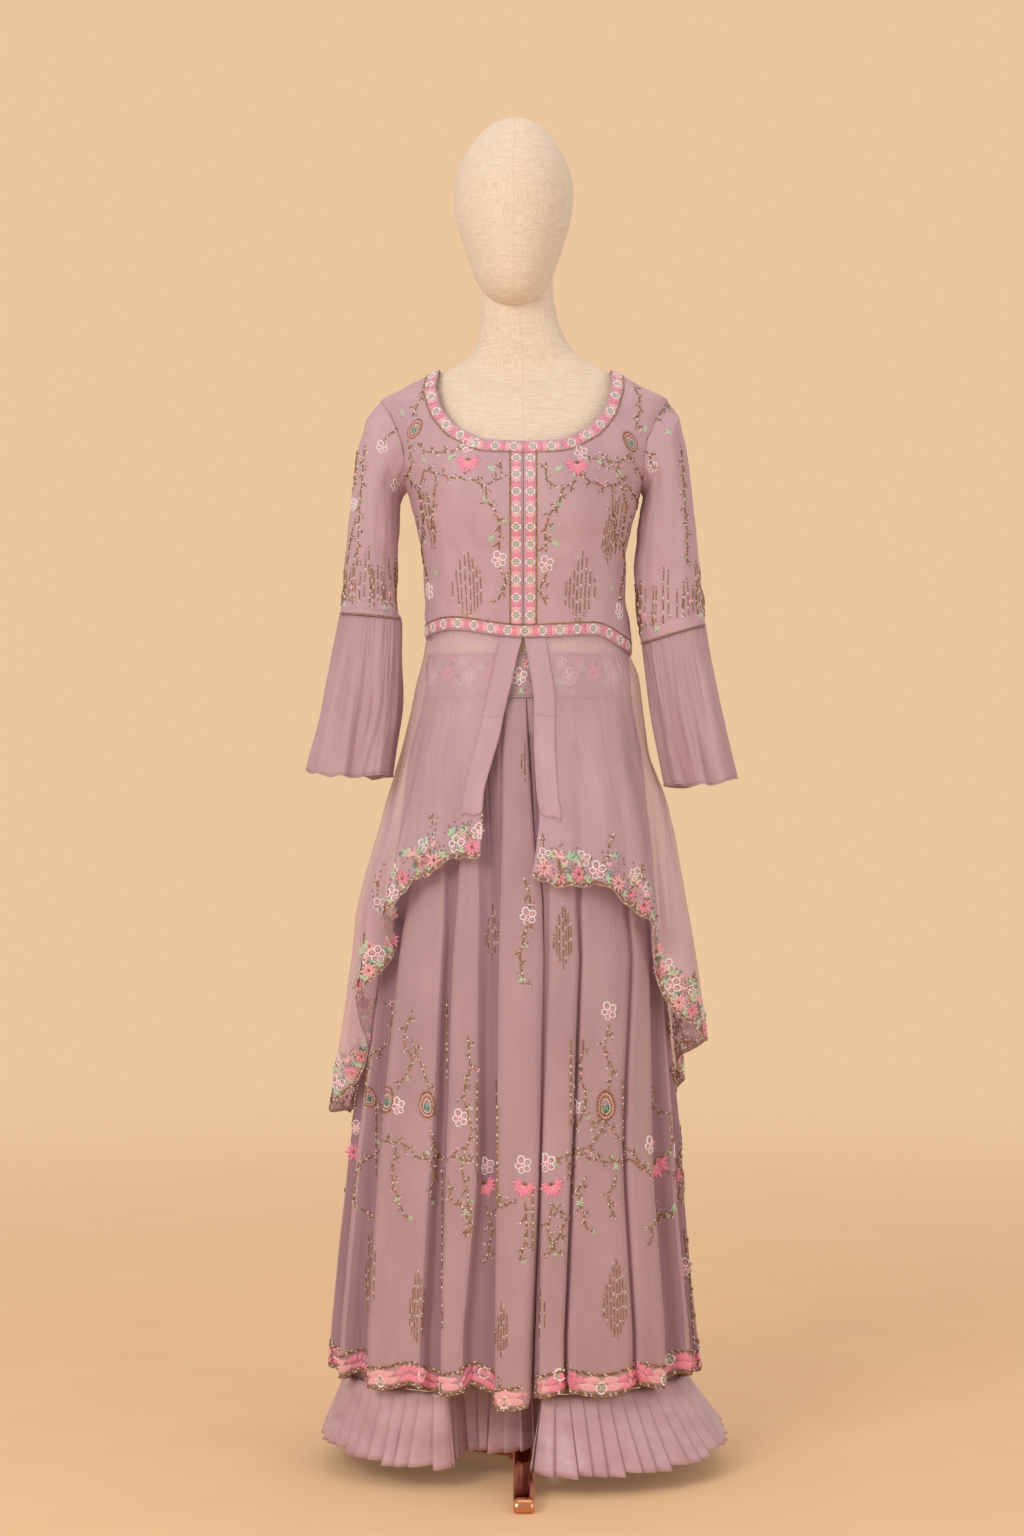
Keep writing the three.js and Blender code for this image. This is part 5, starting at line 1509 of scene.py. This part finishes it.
VINES = {
    "bodice": [
        (1, 10, (470, 478), (486, 488), (487, 500), (496, 512), (500, 528), (499, 548)),
        (2, 10, (576, 480), (562, 490), (559, 503), (549, 515), (545, 532), (546, 552)),
        (3, 10, (424, 470), (440, 474), (456, 478), (470, 470)),
        (4, 10, (620, 482), (606, 486), (592, 482), (577, 472)),
        (5, 10, (416, 442), (428, 452), (446, 452), (462, 448)),
        (6, 10, (632, 452), (618, 462), (600, 460), (584, 455)),
        (7, 10, (425, 384), (420, 400), (412, 416)),
        (8, 10, (634, 384), (640, 404), (636, 428)),
        (9, 13, (424, 470), (420, 492), (424, 520), (422, 548), (428, 580)),
        (10, 13, (620, 482), (626, 505), (622, 535), (624, 565), (619, 600)),
        (11, 13, (436, 476), (434, 500), (431, 530)),
        (12, 13, (612, 486), (613, 512), (616, 545)),
        (13, 12, (500, 568), (506, 584), (498, 600)),
        (14, 12, (546, 574), (540, 590), (546, 604)),
        (15, 12, (488, 484), (502, 476), (500, 460)),
        (16, 12, (558, 488), (546, 478), (546, 462)),
        (61, 10, (600, 452), (614, 468), (628, 486), (638, 502)),
        (62, 10, (630, 456), (640, 474), (646, 492)),
        (63, 10, (398, 468), (410, 480), (422, 496)),
        (64, 10, (408, 440), (412, 462), (404, 484)),
    ],
    "overlay_right": [
        (31, 13, (412, 1010), (404, 1040), (412, 1062), (398, 1088)),
        (32, 13, (412, 1040), (420, 1062), (430, 1090)),
        (34, 13, (396, 1148), (392, 1176), (398, 1200), (404, 1216)),
        (35, 13, (468, 1036), (470, 1066), (464, 1096), (472, 1130)),
        (36, 13, (472, 1130), (462, 1166), (468, 1200), (466, 1236)),
        (37, 12, (524, 878), (530, 900), (526, 930), (520, 958), (524, 985)),
        (38, 12, (486, 1206), (492, 1230), (486, 1262)),
        (40, 13, (430, 1128), (436, 1160), (430, 1196)),
        (71, 10, (382, 1141), (402, 1144), (423, 1159), (453, 1157), (474, 1162)),
        (73, 10, (448, 1182), (453, 1203), (471, 1208), (471, 1233)),
        (74, 10, (497, 1190), (502, 1208), (515, 1200)),
        (75, 10, (525, 1203), (527, 1233), (520, 1259)),
    ],
    "overlay_left": [
        (51, 13, (609, 1024), (604, 1048), (612, 1070), (608, 1090)),
        (52, 13, (583, 1040), (580, 1072), (586, 1100), (576, 1130)),
        (53, 13, (606, 1122), (590, 1146), (566, 1156), (552, 1160)),
        (54, 13, (606, 1122), (622, 1142), (638, 1160), (650, 1172)),
        (55, 13, (616, 1176), (608, 1200), (616, 1220)),
        (57, 13, (552, 1204), (548, 1232), (556, 1252)),
        (58, 13, (566, 1156), (572, 1182), (580, 1202)),
        (59, 16, (684, 1230), (690, 1280), (694, 1340), (698, 1378)),
        (81, 10, (571, 1146), (586, 1157), (607, 1162), (627, 1159), (647, 1172)),
        (82, 10, (550, 1203), (566, 1218), (555, 1244), (545, 1259)),
        (83, 10, (586, 1177), (578, 1192), (584, 1218), (586, 1228)),
        (84, 10, (668, 1172), (681, 1182), (676, 1208), (653, 1223), (650, 1244)),
        (85, 10, (591, 1131), (600, 1120), (607, 1111)),
    ],
}
RAIN = {
    "bodice": [
        (450, 482, 550, 622, 8), (564, 597, 554, 624, 8), (415, 433, 484, 556, 6),
        (604, 632, 494, 566, 8),
    ],
    "overlay_right": [
        (484, 500, 905, 962, 5), (409, 425, 1266, 1347, 6), (494, 508, 1306, 1358, 5),
        (364, 377, 1222, 1320, 4), (520, 536, 726, 792, 5),
    ],
    "overlay_left": [
        (552, 572, 903, 970, 7), (602, 627, 1258, 1342, 8), (536, 546, 1290, 1340, 3),
    ],
}


def sew_front(work, panel):
    """The flowers, vines and rain that the photograph shows on a panel."""
    for elements, *places in FLOWERS[panel]:
        sew_seen(work, elements, *places)
    for seed, gap, *pixels in VINES[panel]:
        vine_seen(work, pixels, seed=seed, gap=gap)
    for lozenge in RAIN[panel]:
        rain_seen(work, *lozenge)


def sew_bodice_back(work):
    """The back repeats the front's vines and flowers round its middle."""
    for side in (1, -1):
        def spots(places, side=side):
            return found([work.from_round(180 - side * a, z) for a, z in places])

        for a, z, elements in ((24, 1296, silk_flower("deep_pink", 12, 10)),
                               (27, 1322, bead_rose("green", 7.5)),
                               (16, 1180, bead_rose("pale_pink", 8.5)),
                               (56, 1285, paisley(12, side)),
                               (44, 1255, green_circle()), (14, 1240, green_circle()),
                               (62, 1130, bead_rose("pale_pink", 8.5))):
            for spot, normal in spots([(a, z)]):
                work.sew(spot, normal, elements)
        for places in (((24, 1284), (17, 1266), (14, 1246), (12, 1220), (15, 1192)),
                       ((56, 1270), (44, 1262), (32, 1270), (25, 1286)),
                       ((56, 1265), (60, 1230), (57, 1190), (61, 1142))):
            curve = Sizes(["k", "a", "z"], [[k, *place] for k, place in enumerate(places)])
            steps = np.linspace(0, len(places) - 1, 24)
            hits = spots([(curve(k, "a"), curve(k, "z")) for k in steps])
            twig_line(work, [spot for spot, _ in hits], seed=side)
        rain = spots([(a, 1150 + 14 * np.sin(a)) for a in (26, 30, 34, 38, 42, 46)])
        bead_rain(work, rain, [40, 62, 74, 70, 58, 36][:len(rain)])


# Vines, roses, knots and one curled drop on the sleeve heads, by pixels of the photograph
SLEEVE_MOTIFS = {
    "right": (
        [[(374, 391), (384, 400), (394, 404), (402, 413)], [(358, 446), (356, 466), (355, 486)],
         [(356, 518), (352, 534), (349, 552)], [(396, 428), (390, 434), (384, 440)]],
        [(382, 447), (354, 505), (395, 486)], [(402, 413)], (404, 428),
    ),
    "left": (
        [[(676, 400), (667, 406), (660, 414), (652, 424)], [(638, 444), (650, 456), (654, 470)],
         [(697, 532), (700, 560), (704, 590)], [(652, 384), (646, 396), (652, 412)]],
        [(652, 467), (642, 510)], [(646, 429), (668, 432)], (640, 441),
    ),
}


def make_sleeve_beadwork(side):
    """Rain above the elbow seam, and vines and flowers over the sleeve."""
    work = Beadwork("sleeve_" + side)
    sign = SIGN[side]
    seam = ring_rows(SLEEVES[side], SLEEVE_ROWS, SLEEVE_COLUMNS)[0][-1]
    border = Border(work, np.concatenate([seam, seam[:1]]))
    up = -sign
    border.line(1.5, up)
    # rows of beads of uneven length hang close together above the elbow seam
    rows = 52
    for k in range(rows):
        top = 44 + 30 * abs(np.sin(k * 2.4)) + 10 * np.sin(k * 0.7)
        low = 9 + 8 * abs(np.sin(k * 1.7))
        here, facing, _ = border.at((k + 0.3) / rows * border.length, top, up)
        bead_rain(work, [(here, facing)], [top - low])
        if k % 3 == 0:
            border.motif((k + 0.8) / rows * border.length, low + 6,
                         [("disc", "silver", 0, 0, 0, 1.9)], up)
        if k % 13 == 4:
            border.motif((k + 0.5) / rows * border.length, 13, green_circle(4.8), up)
            border.motif((k + 3) / rows * border.length, 34,
                         [("disc", "pale_pink", 0, 0, 0, 3.2)], up)
    vines, roses, knots, drop = SLEEVE_MOTIFS[side]
    for k, line in enumerate(vines):
        vine_seen(work, line, seed=20 + k, gap=8, reach=7)
    sew_seen(work, bead_rose("green", 7.5, 5), *roses)
    sew_seen(work, green_circle(), *knots)
    sew_seen(work, paisley(14, sign), (*drop, 0.4 * sign))
    for angle in (30, 150):
        hits = found([work.from_round(sign * angle, z, (sign * 182, 0))
                      for z in np.linspace(1290, 1140, 18)])
        twig_line(work, [spot for spot, _ in hits], seed=angle)
    work.make("beadwork_sleeve_" + side, "georgette")


def make_belt_beadwork():
    """Silk flowers and roses by turns round the belt, among scattered gold beads."""
    work = Beadwork("belt")
    ring = section(SKIRT, (BELT_TOP_Z + BELT_BOTTOM_Z) / 2, np.linspace(-np.pi, np.pi, 200))
    border = Border(work, ring)
    count = 22
    for k in range(count):
        s = (k + 0.5) / count * border.length
        if k % 2:
            border.motif(s, 3, silk_flower("deep_pink", 13))
            border.motif(s + 15, -11, leaf_spray("green", 10, 3), turned=-0.6)
            border.motif(s - 14, 12, leaf_spray("green", 9, 3), turned=2.6)
            border.motif(s + 8, 18, buds(7), turned=-0.8)
        else:
            border.motif(s, -3, bead_rose("green", 10))
            border.motif(s + 11, 14, silk_flower("pale_pink", 8.5, 8))
            border.motif(s - 11, 15, bead_rose("green", 7, 5))
            border.motif(s + 3, -20, green_circle(4))
    for k in range(300):
        s = (k * 0.618 % 1) * border.length
        border.motif(s, -22 + 44 * ((k * 0.755) % 1), [("stitch", "gold", 0, 0, k * 1.3, 2.8)])
    work.make("beadwork_waist_belt")


FLOWER_SPACING = 25.0


def flower_border(work, points, side, seed):
    """The wide border of the peplum's hem: flowers, roses and leaves on a bed of beads."""
    border = Border(work, points)
    count = int(round(border.length / FLOWER_SPACING))
    step = border.length / count

    def height(s):
        return 40 + 12 * np.sin(s / 17.0 + seed) + 7 * np.sin(s / 6.3 + 1)

    for k in range(int(border.length * 1.5)):
        s = (k * 0.618034 % 1) * border.length
        beside = 3 + (height(s) - 4) * ((k * 0.7548777) % 1)
        name = mixed_bead(k)
        shape, size = ("stitch", 3.0) if name == "gold" else ("bead", 1.15)
        border.motif(s, beside, [(shape, name, 0, 0, k * 1.37, size)], side)
    for k in range(count):
        s = (k + 0.5) * step
        pick = (k + seed) % 4
        wiggle = 3 * np.sin(k * 2.3 + seed)
        low, high = 14 + wiggle, 34 - wiggle
        if pick == 0:
            border.motif(s, low, silk_flower("deep_pink", 12, 10), side, turned=k * 0.7)
            border.motif(s + 4, high, bead_rose("pale_pink", 9.5, 5), side)
        elif pick == 1:
            border.motif(s, low, bead_rose("deep_pink", 10.5, 5), side)
            border.motif(s - 5, high, silk_flower("pale_pink", 9, 8), side)
        elif pick == 2:
            border.motif(s, low, silk_flower("pale_pink", 12, 10), side, turned=k * 0.7)
            border.motif(s + 4, high, bead_rose("green", 8.5, 5), side)
        else:
            border.motif(s, low, silk_flower("deep_pink", 10, 9), side, turned=k * 0.7)
            border.motif(s + 5, high, leaf_spray("pale_pink", 11, 4), side, turned=-0.4)
        border.motif(s - 9, high + 1, leaf_spray("green", 9, 3), side, turned=0.5)
        border.motif(s - 8, high + 6, [("disc", "teal", 0, 0, 0, 2.8)], side)
        border.motif(s + step / 2, 8, leaf_spray("green", 8, 3), side, turned=-1.2)
        border.motif(s + step / 2, 24, leaf_spray("pale_pink" if k % 2 else "green", 8, 2), side)
        border.motif(s + step / 2 + 2, 17, [("disc", "teal", 0, 0, 0, 2.8)], side)
        border.motif(s + step / 2 - 2, 34, [("disc", "silver", 0, 0, 0, 2.4),
                                            ("disc", "silver", 4, 4, 0, 1.9)], side)
        # a short twig of gold beads grows up out of the border
        base, _, aside = border.at(s + 6, height(s) - 4, side)
        tip = base + (aside + 0.5 * np.sin(k * 2.7) * np.array([1, 0, 0])) * 15
        middle = (base + tip) / 2
        work.string([base, middle, tip], step=2.3)
        for lean in (-1, 1):
            fork = middle + aside * 5 + np.cross(aside, [0, 1, 0]) * 5 * lean
            work.string([middle, fork], step=2.1, size=3.4)
    border.line(1.2, side, None, step=2.4)
    border.line(3.6, side, None, step=2.6)


def make_peplum_beadwork(fronts, back):
    """The wide border along the hems of the peplum's two fronts and its back."""
    for side, grid in fronts.items():
        work = Beadwork("peplum_" + side)
        flower_border(work, grid[-1], SIGN[side], seed={"left": 2, "right": 0}[side])
        work.make("beadwork_peplum_front_" + side, "sheer_georgette")
    work = Beadwork("peplum_back")
    flower_border(work, back[-1], 1, seed=1)
    work.make("beadwork_peplum_back", "sheer_georgette")


# Lines of beads down the pressed edges of the folds: pixel column, first and last row
FOLD_BEADS = [
    (477, 1080, 1183), (497, 1080, 1210), (442, 1168, 1330), (623, 1080, 1145),
    (533, 1190, 1370), (376, 1098, 1180), (684, 1130, 1200), (571, 1040, 1130), (447, 1000, 1090),
]
# Leaves beside each cusp and trough of the hem: where the axis starts and ends, and its width
HEM_LEAVES = {
    True: [(4, 20, 34, 18, 12), (1, 10, 30, 9, 12)],
    False: [(4, 10, 35, 12, 12), (1, 20, 29, 20, 11)],
}


def make_overlay_beadwork(side, grid, last_outer, length):
    """The band along the scallops, beads down the folds, and the flowers of the leg."""
    work = Beadwork("overlay_" + side)
    sign = SIGN[side]
    border = Border(work, grid[-1, :last_outer + 1])
    for beside in (1.2, 3.4, 26, 28):
        border.line(beside, sign, None, step=2.5)
    # long satin-stitch leaves fill the band: deep pink from each cusp, pale pink from each trough
    first = length[0]
    scallops = range(int(first / SCALLOP_PERIOD) - 1,
                     int((border.length + first) / SCALLOP_PERIOD) + 2)
    for k in scallops:
        for cusp in (True, False):
            s = (k + (0 if cusp else 0.5)) * SCALLOP_PERIOD - first
            tone = "deep_pink" if cusp else "pale_pink"
            for way in (-1, 1):
                for start, low, end, high, wide in HEM_LEAVES[cusp]:
                    for t in np.linspace(0.03, 0.97, 17):
                        along = s + way * mix(start, end, t)
                        if not 0 < along < border.length:
                            continue
                        across = wide * np.sin(np.pi * t ** 0.8) ** 0.6
                        angle = np.pi / 2 - way * 0.5
                        beside = mix(low, high, t) + 1.2 * np.sin(TURN * t)
                        border.motif(along - 0.5 * across * np.cos(angle),
                                     beside - 0.5 * across * np.sin(angle),
                                     [("leaf", tone, 0, 0, angle, across)], sign)
            if 4 < s < border.length - 4:
                border.motif(s, 20 if cusp else 11, diamond(7.5, 7.5), sign)
    for px, top, bottom in FOLD_BEADS:
        hits = seen(work, [(px, y) for y in np.arange(top, bottom, 5)])
        if len(hits) > 3:
            work.string([spot for spot, _ in hits])
    sew_front(work, "overlay_" + side)
    sew_overlay_round(work, sign, {"left": 72, "right": 75}[side], 168)
    work.make("beadwork_overlay_" + side, "georgette")


def sew_overlay_round(work, sign, start, stop):
    """The same vines, flowers and rain round the side and back of the skirt."""
    for k, degrees in enumerate(np.arange(start, stop, 19)):
        angle = sign * degrees
        wave = 26 * np.sin(k * 1.9)
        for da, z, elements in ((0, 470 + wave, paisley(14, sign)),
                                (5, 372 + wave, silk_flower("deep_pink", 13, 10)),
                                (5, 402 + wave, bead_rose("pale_pink", 8.5)),
                                (-5, 340 + wave, green_circle(5))):
            for spot, normal in found([work.from_round(angle + da, z)]):
                work.sew(spot, normal, elements)
        line = [(angle + 3 * np.sin(z / 21), z + wave) for z in np.linspace(590, 320, 40)]
        hits = found([work.from_round(a, z) for a, z in line])
        twig_line(work, [spot for spot, _ in hits], gap=15, seed=k)
        drops = found([work.from_round(angle + 8 + d, 250 - 10 * abs(d)) for d in (-1.6, 0, 1.6)])
        bead_rain(work, drops, [52, 84, 60][:len(drops)])


# Dress form and stand

def make_form():
    """The head and torso under glued linen."""
    columns = 96
    angle = ring_angles(columns)
    ease = 0.5 - 0.5 * np.cos(np.linspace(0, np.pi, 60))
    z = mix(1709, 1466.4, ease)[:, None]
    head = spread(HEAD(z, "x") + HEAD(z, "width") * np.sin(angle),
                  HEAD(z, "y") - HEAD(z, "depth") * np.cos(angle), z)
    mesh = Mesh()
    mesh.sheet(head)
    # the panels of cloth meet in a line over the crown and down the face
    middle = np.concatenate([head[4:56, 0], head[55:3:-1, columns // 2]])
    tube(mesh, middle, FORM_SEAM, closed=True, around=5)
    piece = mesh.make("linen_head", [LINEN])
    finish_piece(piece, ["form_head"])
    z = np.concatenate([np.linspace(1518, 1400, 24), np.linspace(1397, 1340, 20),
                        np.linspace(1334, TORSO_BOTTOM_Z, 40)])[:, None]
    torso = section(TORSO, z, angle)
    torso[..., 0] -= 7 * smooth(1395, 1490, z)
    mesh = Mesh()
    mesh.sheet(torso)
    # the underside: a fan from the last row's own points to one point in their middle
    middle = len(torso) * columns
    under = [middle - columns + k for k in range(columns)]
    mesh.points.append(np.array([[0.0, 0.0, TORSO_BOTTOM_Z]]))
    mesh.count += 1
    mesh.faces.extend([[under[k], middle, under[(k + 1) % columns]] for k in range(columns)])
    mesh.kinds.extend([0] * columns)
    for seam in (0, columns // 2):
        tube(mesh, torso[2:78, seam], FORM_SEAM, around=5)
    piece = mesh.make("linen_torso", [LINEN])
    finish_piece(piece, ["form_torso"])


def make_foot(name, degrees):
    """A foot of the stand with rounded edges, and a flat pad under its end."""
    profile = np.array(FOOT_PROFILE, float)
    fine = []
    for k in range(len(profile)):
        for t in (0, 0.34, 0.67):
            fine.append(mix(profile[k], profile[(k + 1) % len(profile)], t))
    fine = np.array(fine)
    along = unit(np.roll(fine, -1, 0) - np.roll(fine, 1, 0))
    inward = np.stack([-along[:, 1], along[:, 0]], -1)
    rows = []
    for w in np.sin(np.linspace(-np.pi / 2, np.pi / 2, 13)):
        round_in = FOOT_EDGE * (1 - np.sqrt(np.maximum(1 - abs(w) ** 4, 0)))
        edge = fine + inward * round_in
        edge[:, 1] = np.maximum(edge[:, 1], 0)
        rows.append(spread(w * FOOT_HALF_WIDTH, -edge[:, 0], edge[:, 1]))
    grid = np.array(rows)
    a = np.radians(degrees)
    turn = np.array([[np.cos(a), -np.sin(a), 0], [np.sin(a), np.cos(a), 0], [0, 0, 1]])
    grid = grid @ turn.T
    mesh = Mesh()
    mesh.sheet(grid, -1)
    ends = grid.shape[1]
    for row, flip in ((0, 1), (-1, -1)):
        middle = grid[row].mean(axis=0)
        faces = [[k, (k + 1) % ends, ends][::flip] for k in range(ends)]
        mesh.add(np.concatenate([grid[row], middle[None]]), faces)
    piece = mesh.make("plated_" + name, [ROSE_GOLD])
    finish_piece(piece, ["stand_" + name])


def dress_stand():
    """The pole and hub keep their own shape, and take the plating."""
    for name in ("stand_pole", "stand_hub"):
        node = bpy.data.objects[name]
        node.data.materials.clear()
        node.data.materials.append(ROSE_GOLD)


# Studio

ROOM_LIGHT = 0.62
SOFTBOXES = [
    ("key_softbox", (-1.9, -2.9, 2.4), (0, 0, 0.8), 1.6, 58),
    ("fill_softbox", (2.4, -2.4, 1.4), (0, 0, 0.6), 2.2, 18),
    ("top_softbox", (0.3, 0.4, 3.3), (0, 0, 0.9), 2.4, 12),
]


def paper_floor():
    """Matt background paper, which fades into the plain wall behind it."""
    material, tree, place, shader = new_material("matt_background_paper", {
        "Roughness": 0.9, "Specular IOR Level": 0.1})
    # pulp fibres pressed in clouds about 160 mm across, hardly darker than the rest
    fibres = mottle(tree, place, (160, 160, 160), 4.0)
    paper = tinted(tree, fibres, "#e5be95", "#e8c298")
    tree.links.new(paper, shader.inputs["Base Color"])
    # painted light: the paper glows faintly with its own colour, in place of the light that a
    # whole white studio throws back, which keeps the shadows shallow
    tree.links.new(paper, shader.inputs["Emission Color"])
    shader.inputs["Emission Strength"].default_value = 0.14
    distance = add(tree, "ShaderNodeVectorMath", {"operation": "LENGTH"}, {0: place})
    fade = add(tree, "ShaderNodeMapRange", {"interpolation_type": "SMOOTHSTEP"}, {
        "Value": distance.outputs["Value"], "From Min": 0.5, "From Max": 4.4,
        "To Min": 1.0, "To Max": 0.0})
    tree.links.new(fade.outputs[0], shader.inputs["Alpha"])
    return material


def soft_studio():
    """A room that looks like warm paper and lights the dress with white light."""
    world = bpy.data.worlds.new("soft_studio")
    world.use_nodes = True
    tree = world.node_tree
    tree.nodes.clear()
    seen_by_camera = add(tree, "ShaderNodeLightPath").outputs["Is Camera Ray"]
    light = add(tree, "ShaderNodeBackground", sockets={
        "Color": colour("#fff3ea"), "Strength": ROOM_LIGHT})
    wall = add(tree, "ShaderNodeBackground", sockets={
        "Color": colour("#ecc69d"), "Strength": 1.0})
    both = add(tree, "ShaderNodeMixShader", sockets={
        0: seen_by_camera, 1: light.outputs[0], 2: wall.outputs[0]})
    output = add(tree, "ShaderNodeOutputWorld")
    tree.links.new(both.outputs[0], output.inputs["Surface"])
    bpy.context.scene.world = world
    bpy.context.scene.view_settings.view_transform = "Standard"


def make_studio():
    """The floor, the room's own light and three softboxes."""
    mesh = Mesh()
    angle = ring_angles(96)
    radius = np.array([1.0, 600, 1400, 2600, 5200])[:, None]
    floor = spread(radius * np.sin(angle), -radius * np.cos(angle), -0.2)
    mesh.sheet(floor, -1)
    mesh.make("paper_floor", [paper_floor()])
    soft_studio()
    for name, spot, aim, size, power in SOFTBOXES:
        lamp = bpy.data.lights.new(name, "AREA")
        lamp.size = size
        lamp.energy = power
        lamp.color = (1.0, 0.96, 0.92)
        holder = bpy.data.objects.new(name, lamp)
        holder.location = spot
        holder.rotation_euler = (Vector(aim) - Vector(spot)).to_track_quat("-Z", "Y").to_euler()
        bpy.context.collection.objects.link(holder)


def make_camera():
    """The camera at the photograph's place, height and angle."""
    lens = bpy.data.cameras.new("photo_camera")
    lens.sensor_fit = "VERTICAL"
    lens.sensor_height = SENSOR_MM
    lens.lens = LENS_MM
    camera = bpy.data.objects.new("photo_camera", lens)
    camera.location = Vector(CAMERA_AT * MM)
    camera.rotation_euler = (np.pi / 2, 0, 0)
    bpy.context.collection.objects.link(camera)
    bpy.context.scene.camera = camera


make_camera()
make_studio()
make_form()
for foot, degrees in (("foot_front", 0), ("foot_left", 120), ("foot_right", -120)):
    make_foot(foot, degrees)
dress_stand()
make_bodice()
for side in SIGN:
    make_sleeve(side)
    make_flounce(side)
make_belt()
peplum_fronts, peplum_back = make_peplum()
for side in SIGN:
    make_facing(side, peplum_fronts[side])
    overlay = make_overlay(side)
    make_lining(side)
    make_ruffle(side)
    make_overlay_beadwork(side, *overlay)
    make_sleeve_beadwork(side)
make_bodice_beadwork()
make_belt_beadwork()
make_peplum_beadwork(peplum_fronts, peplum_back)
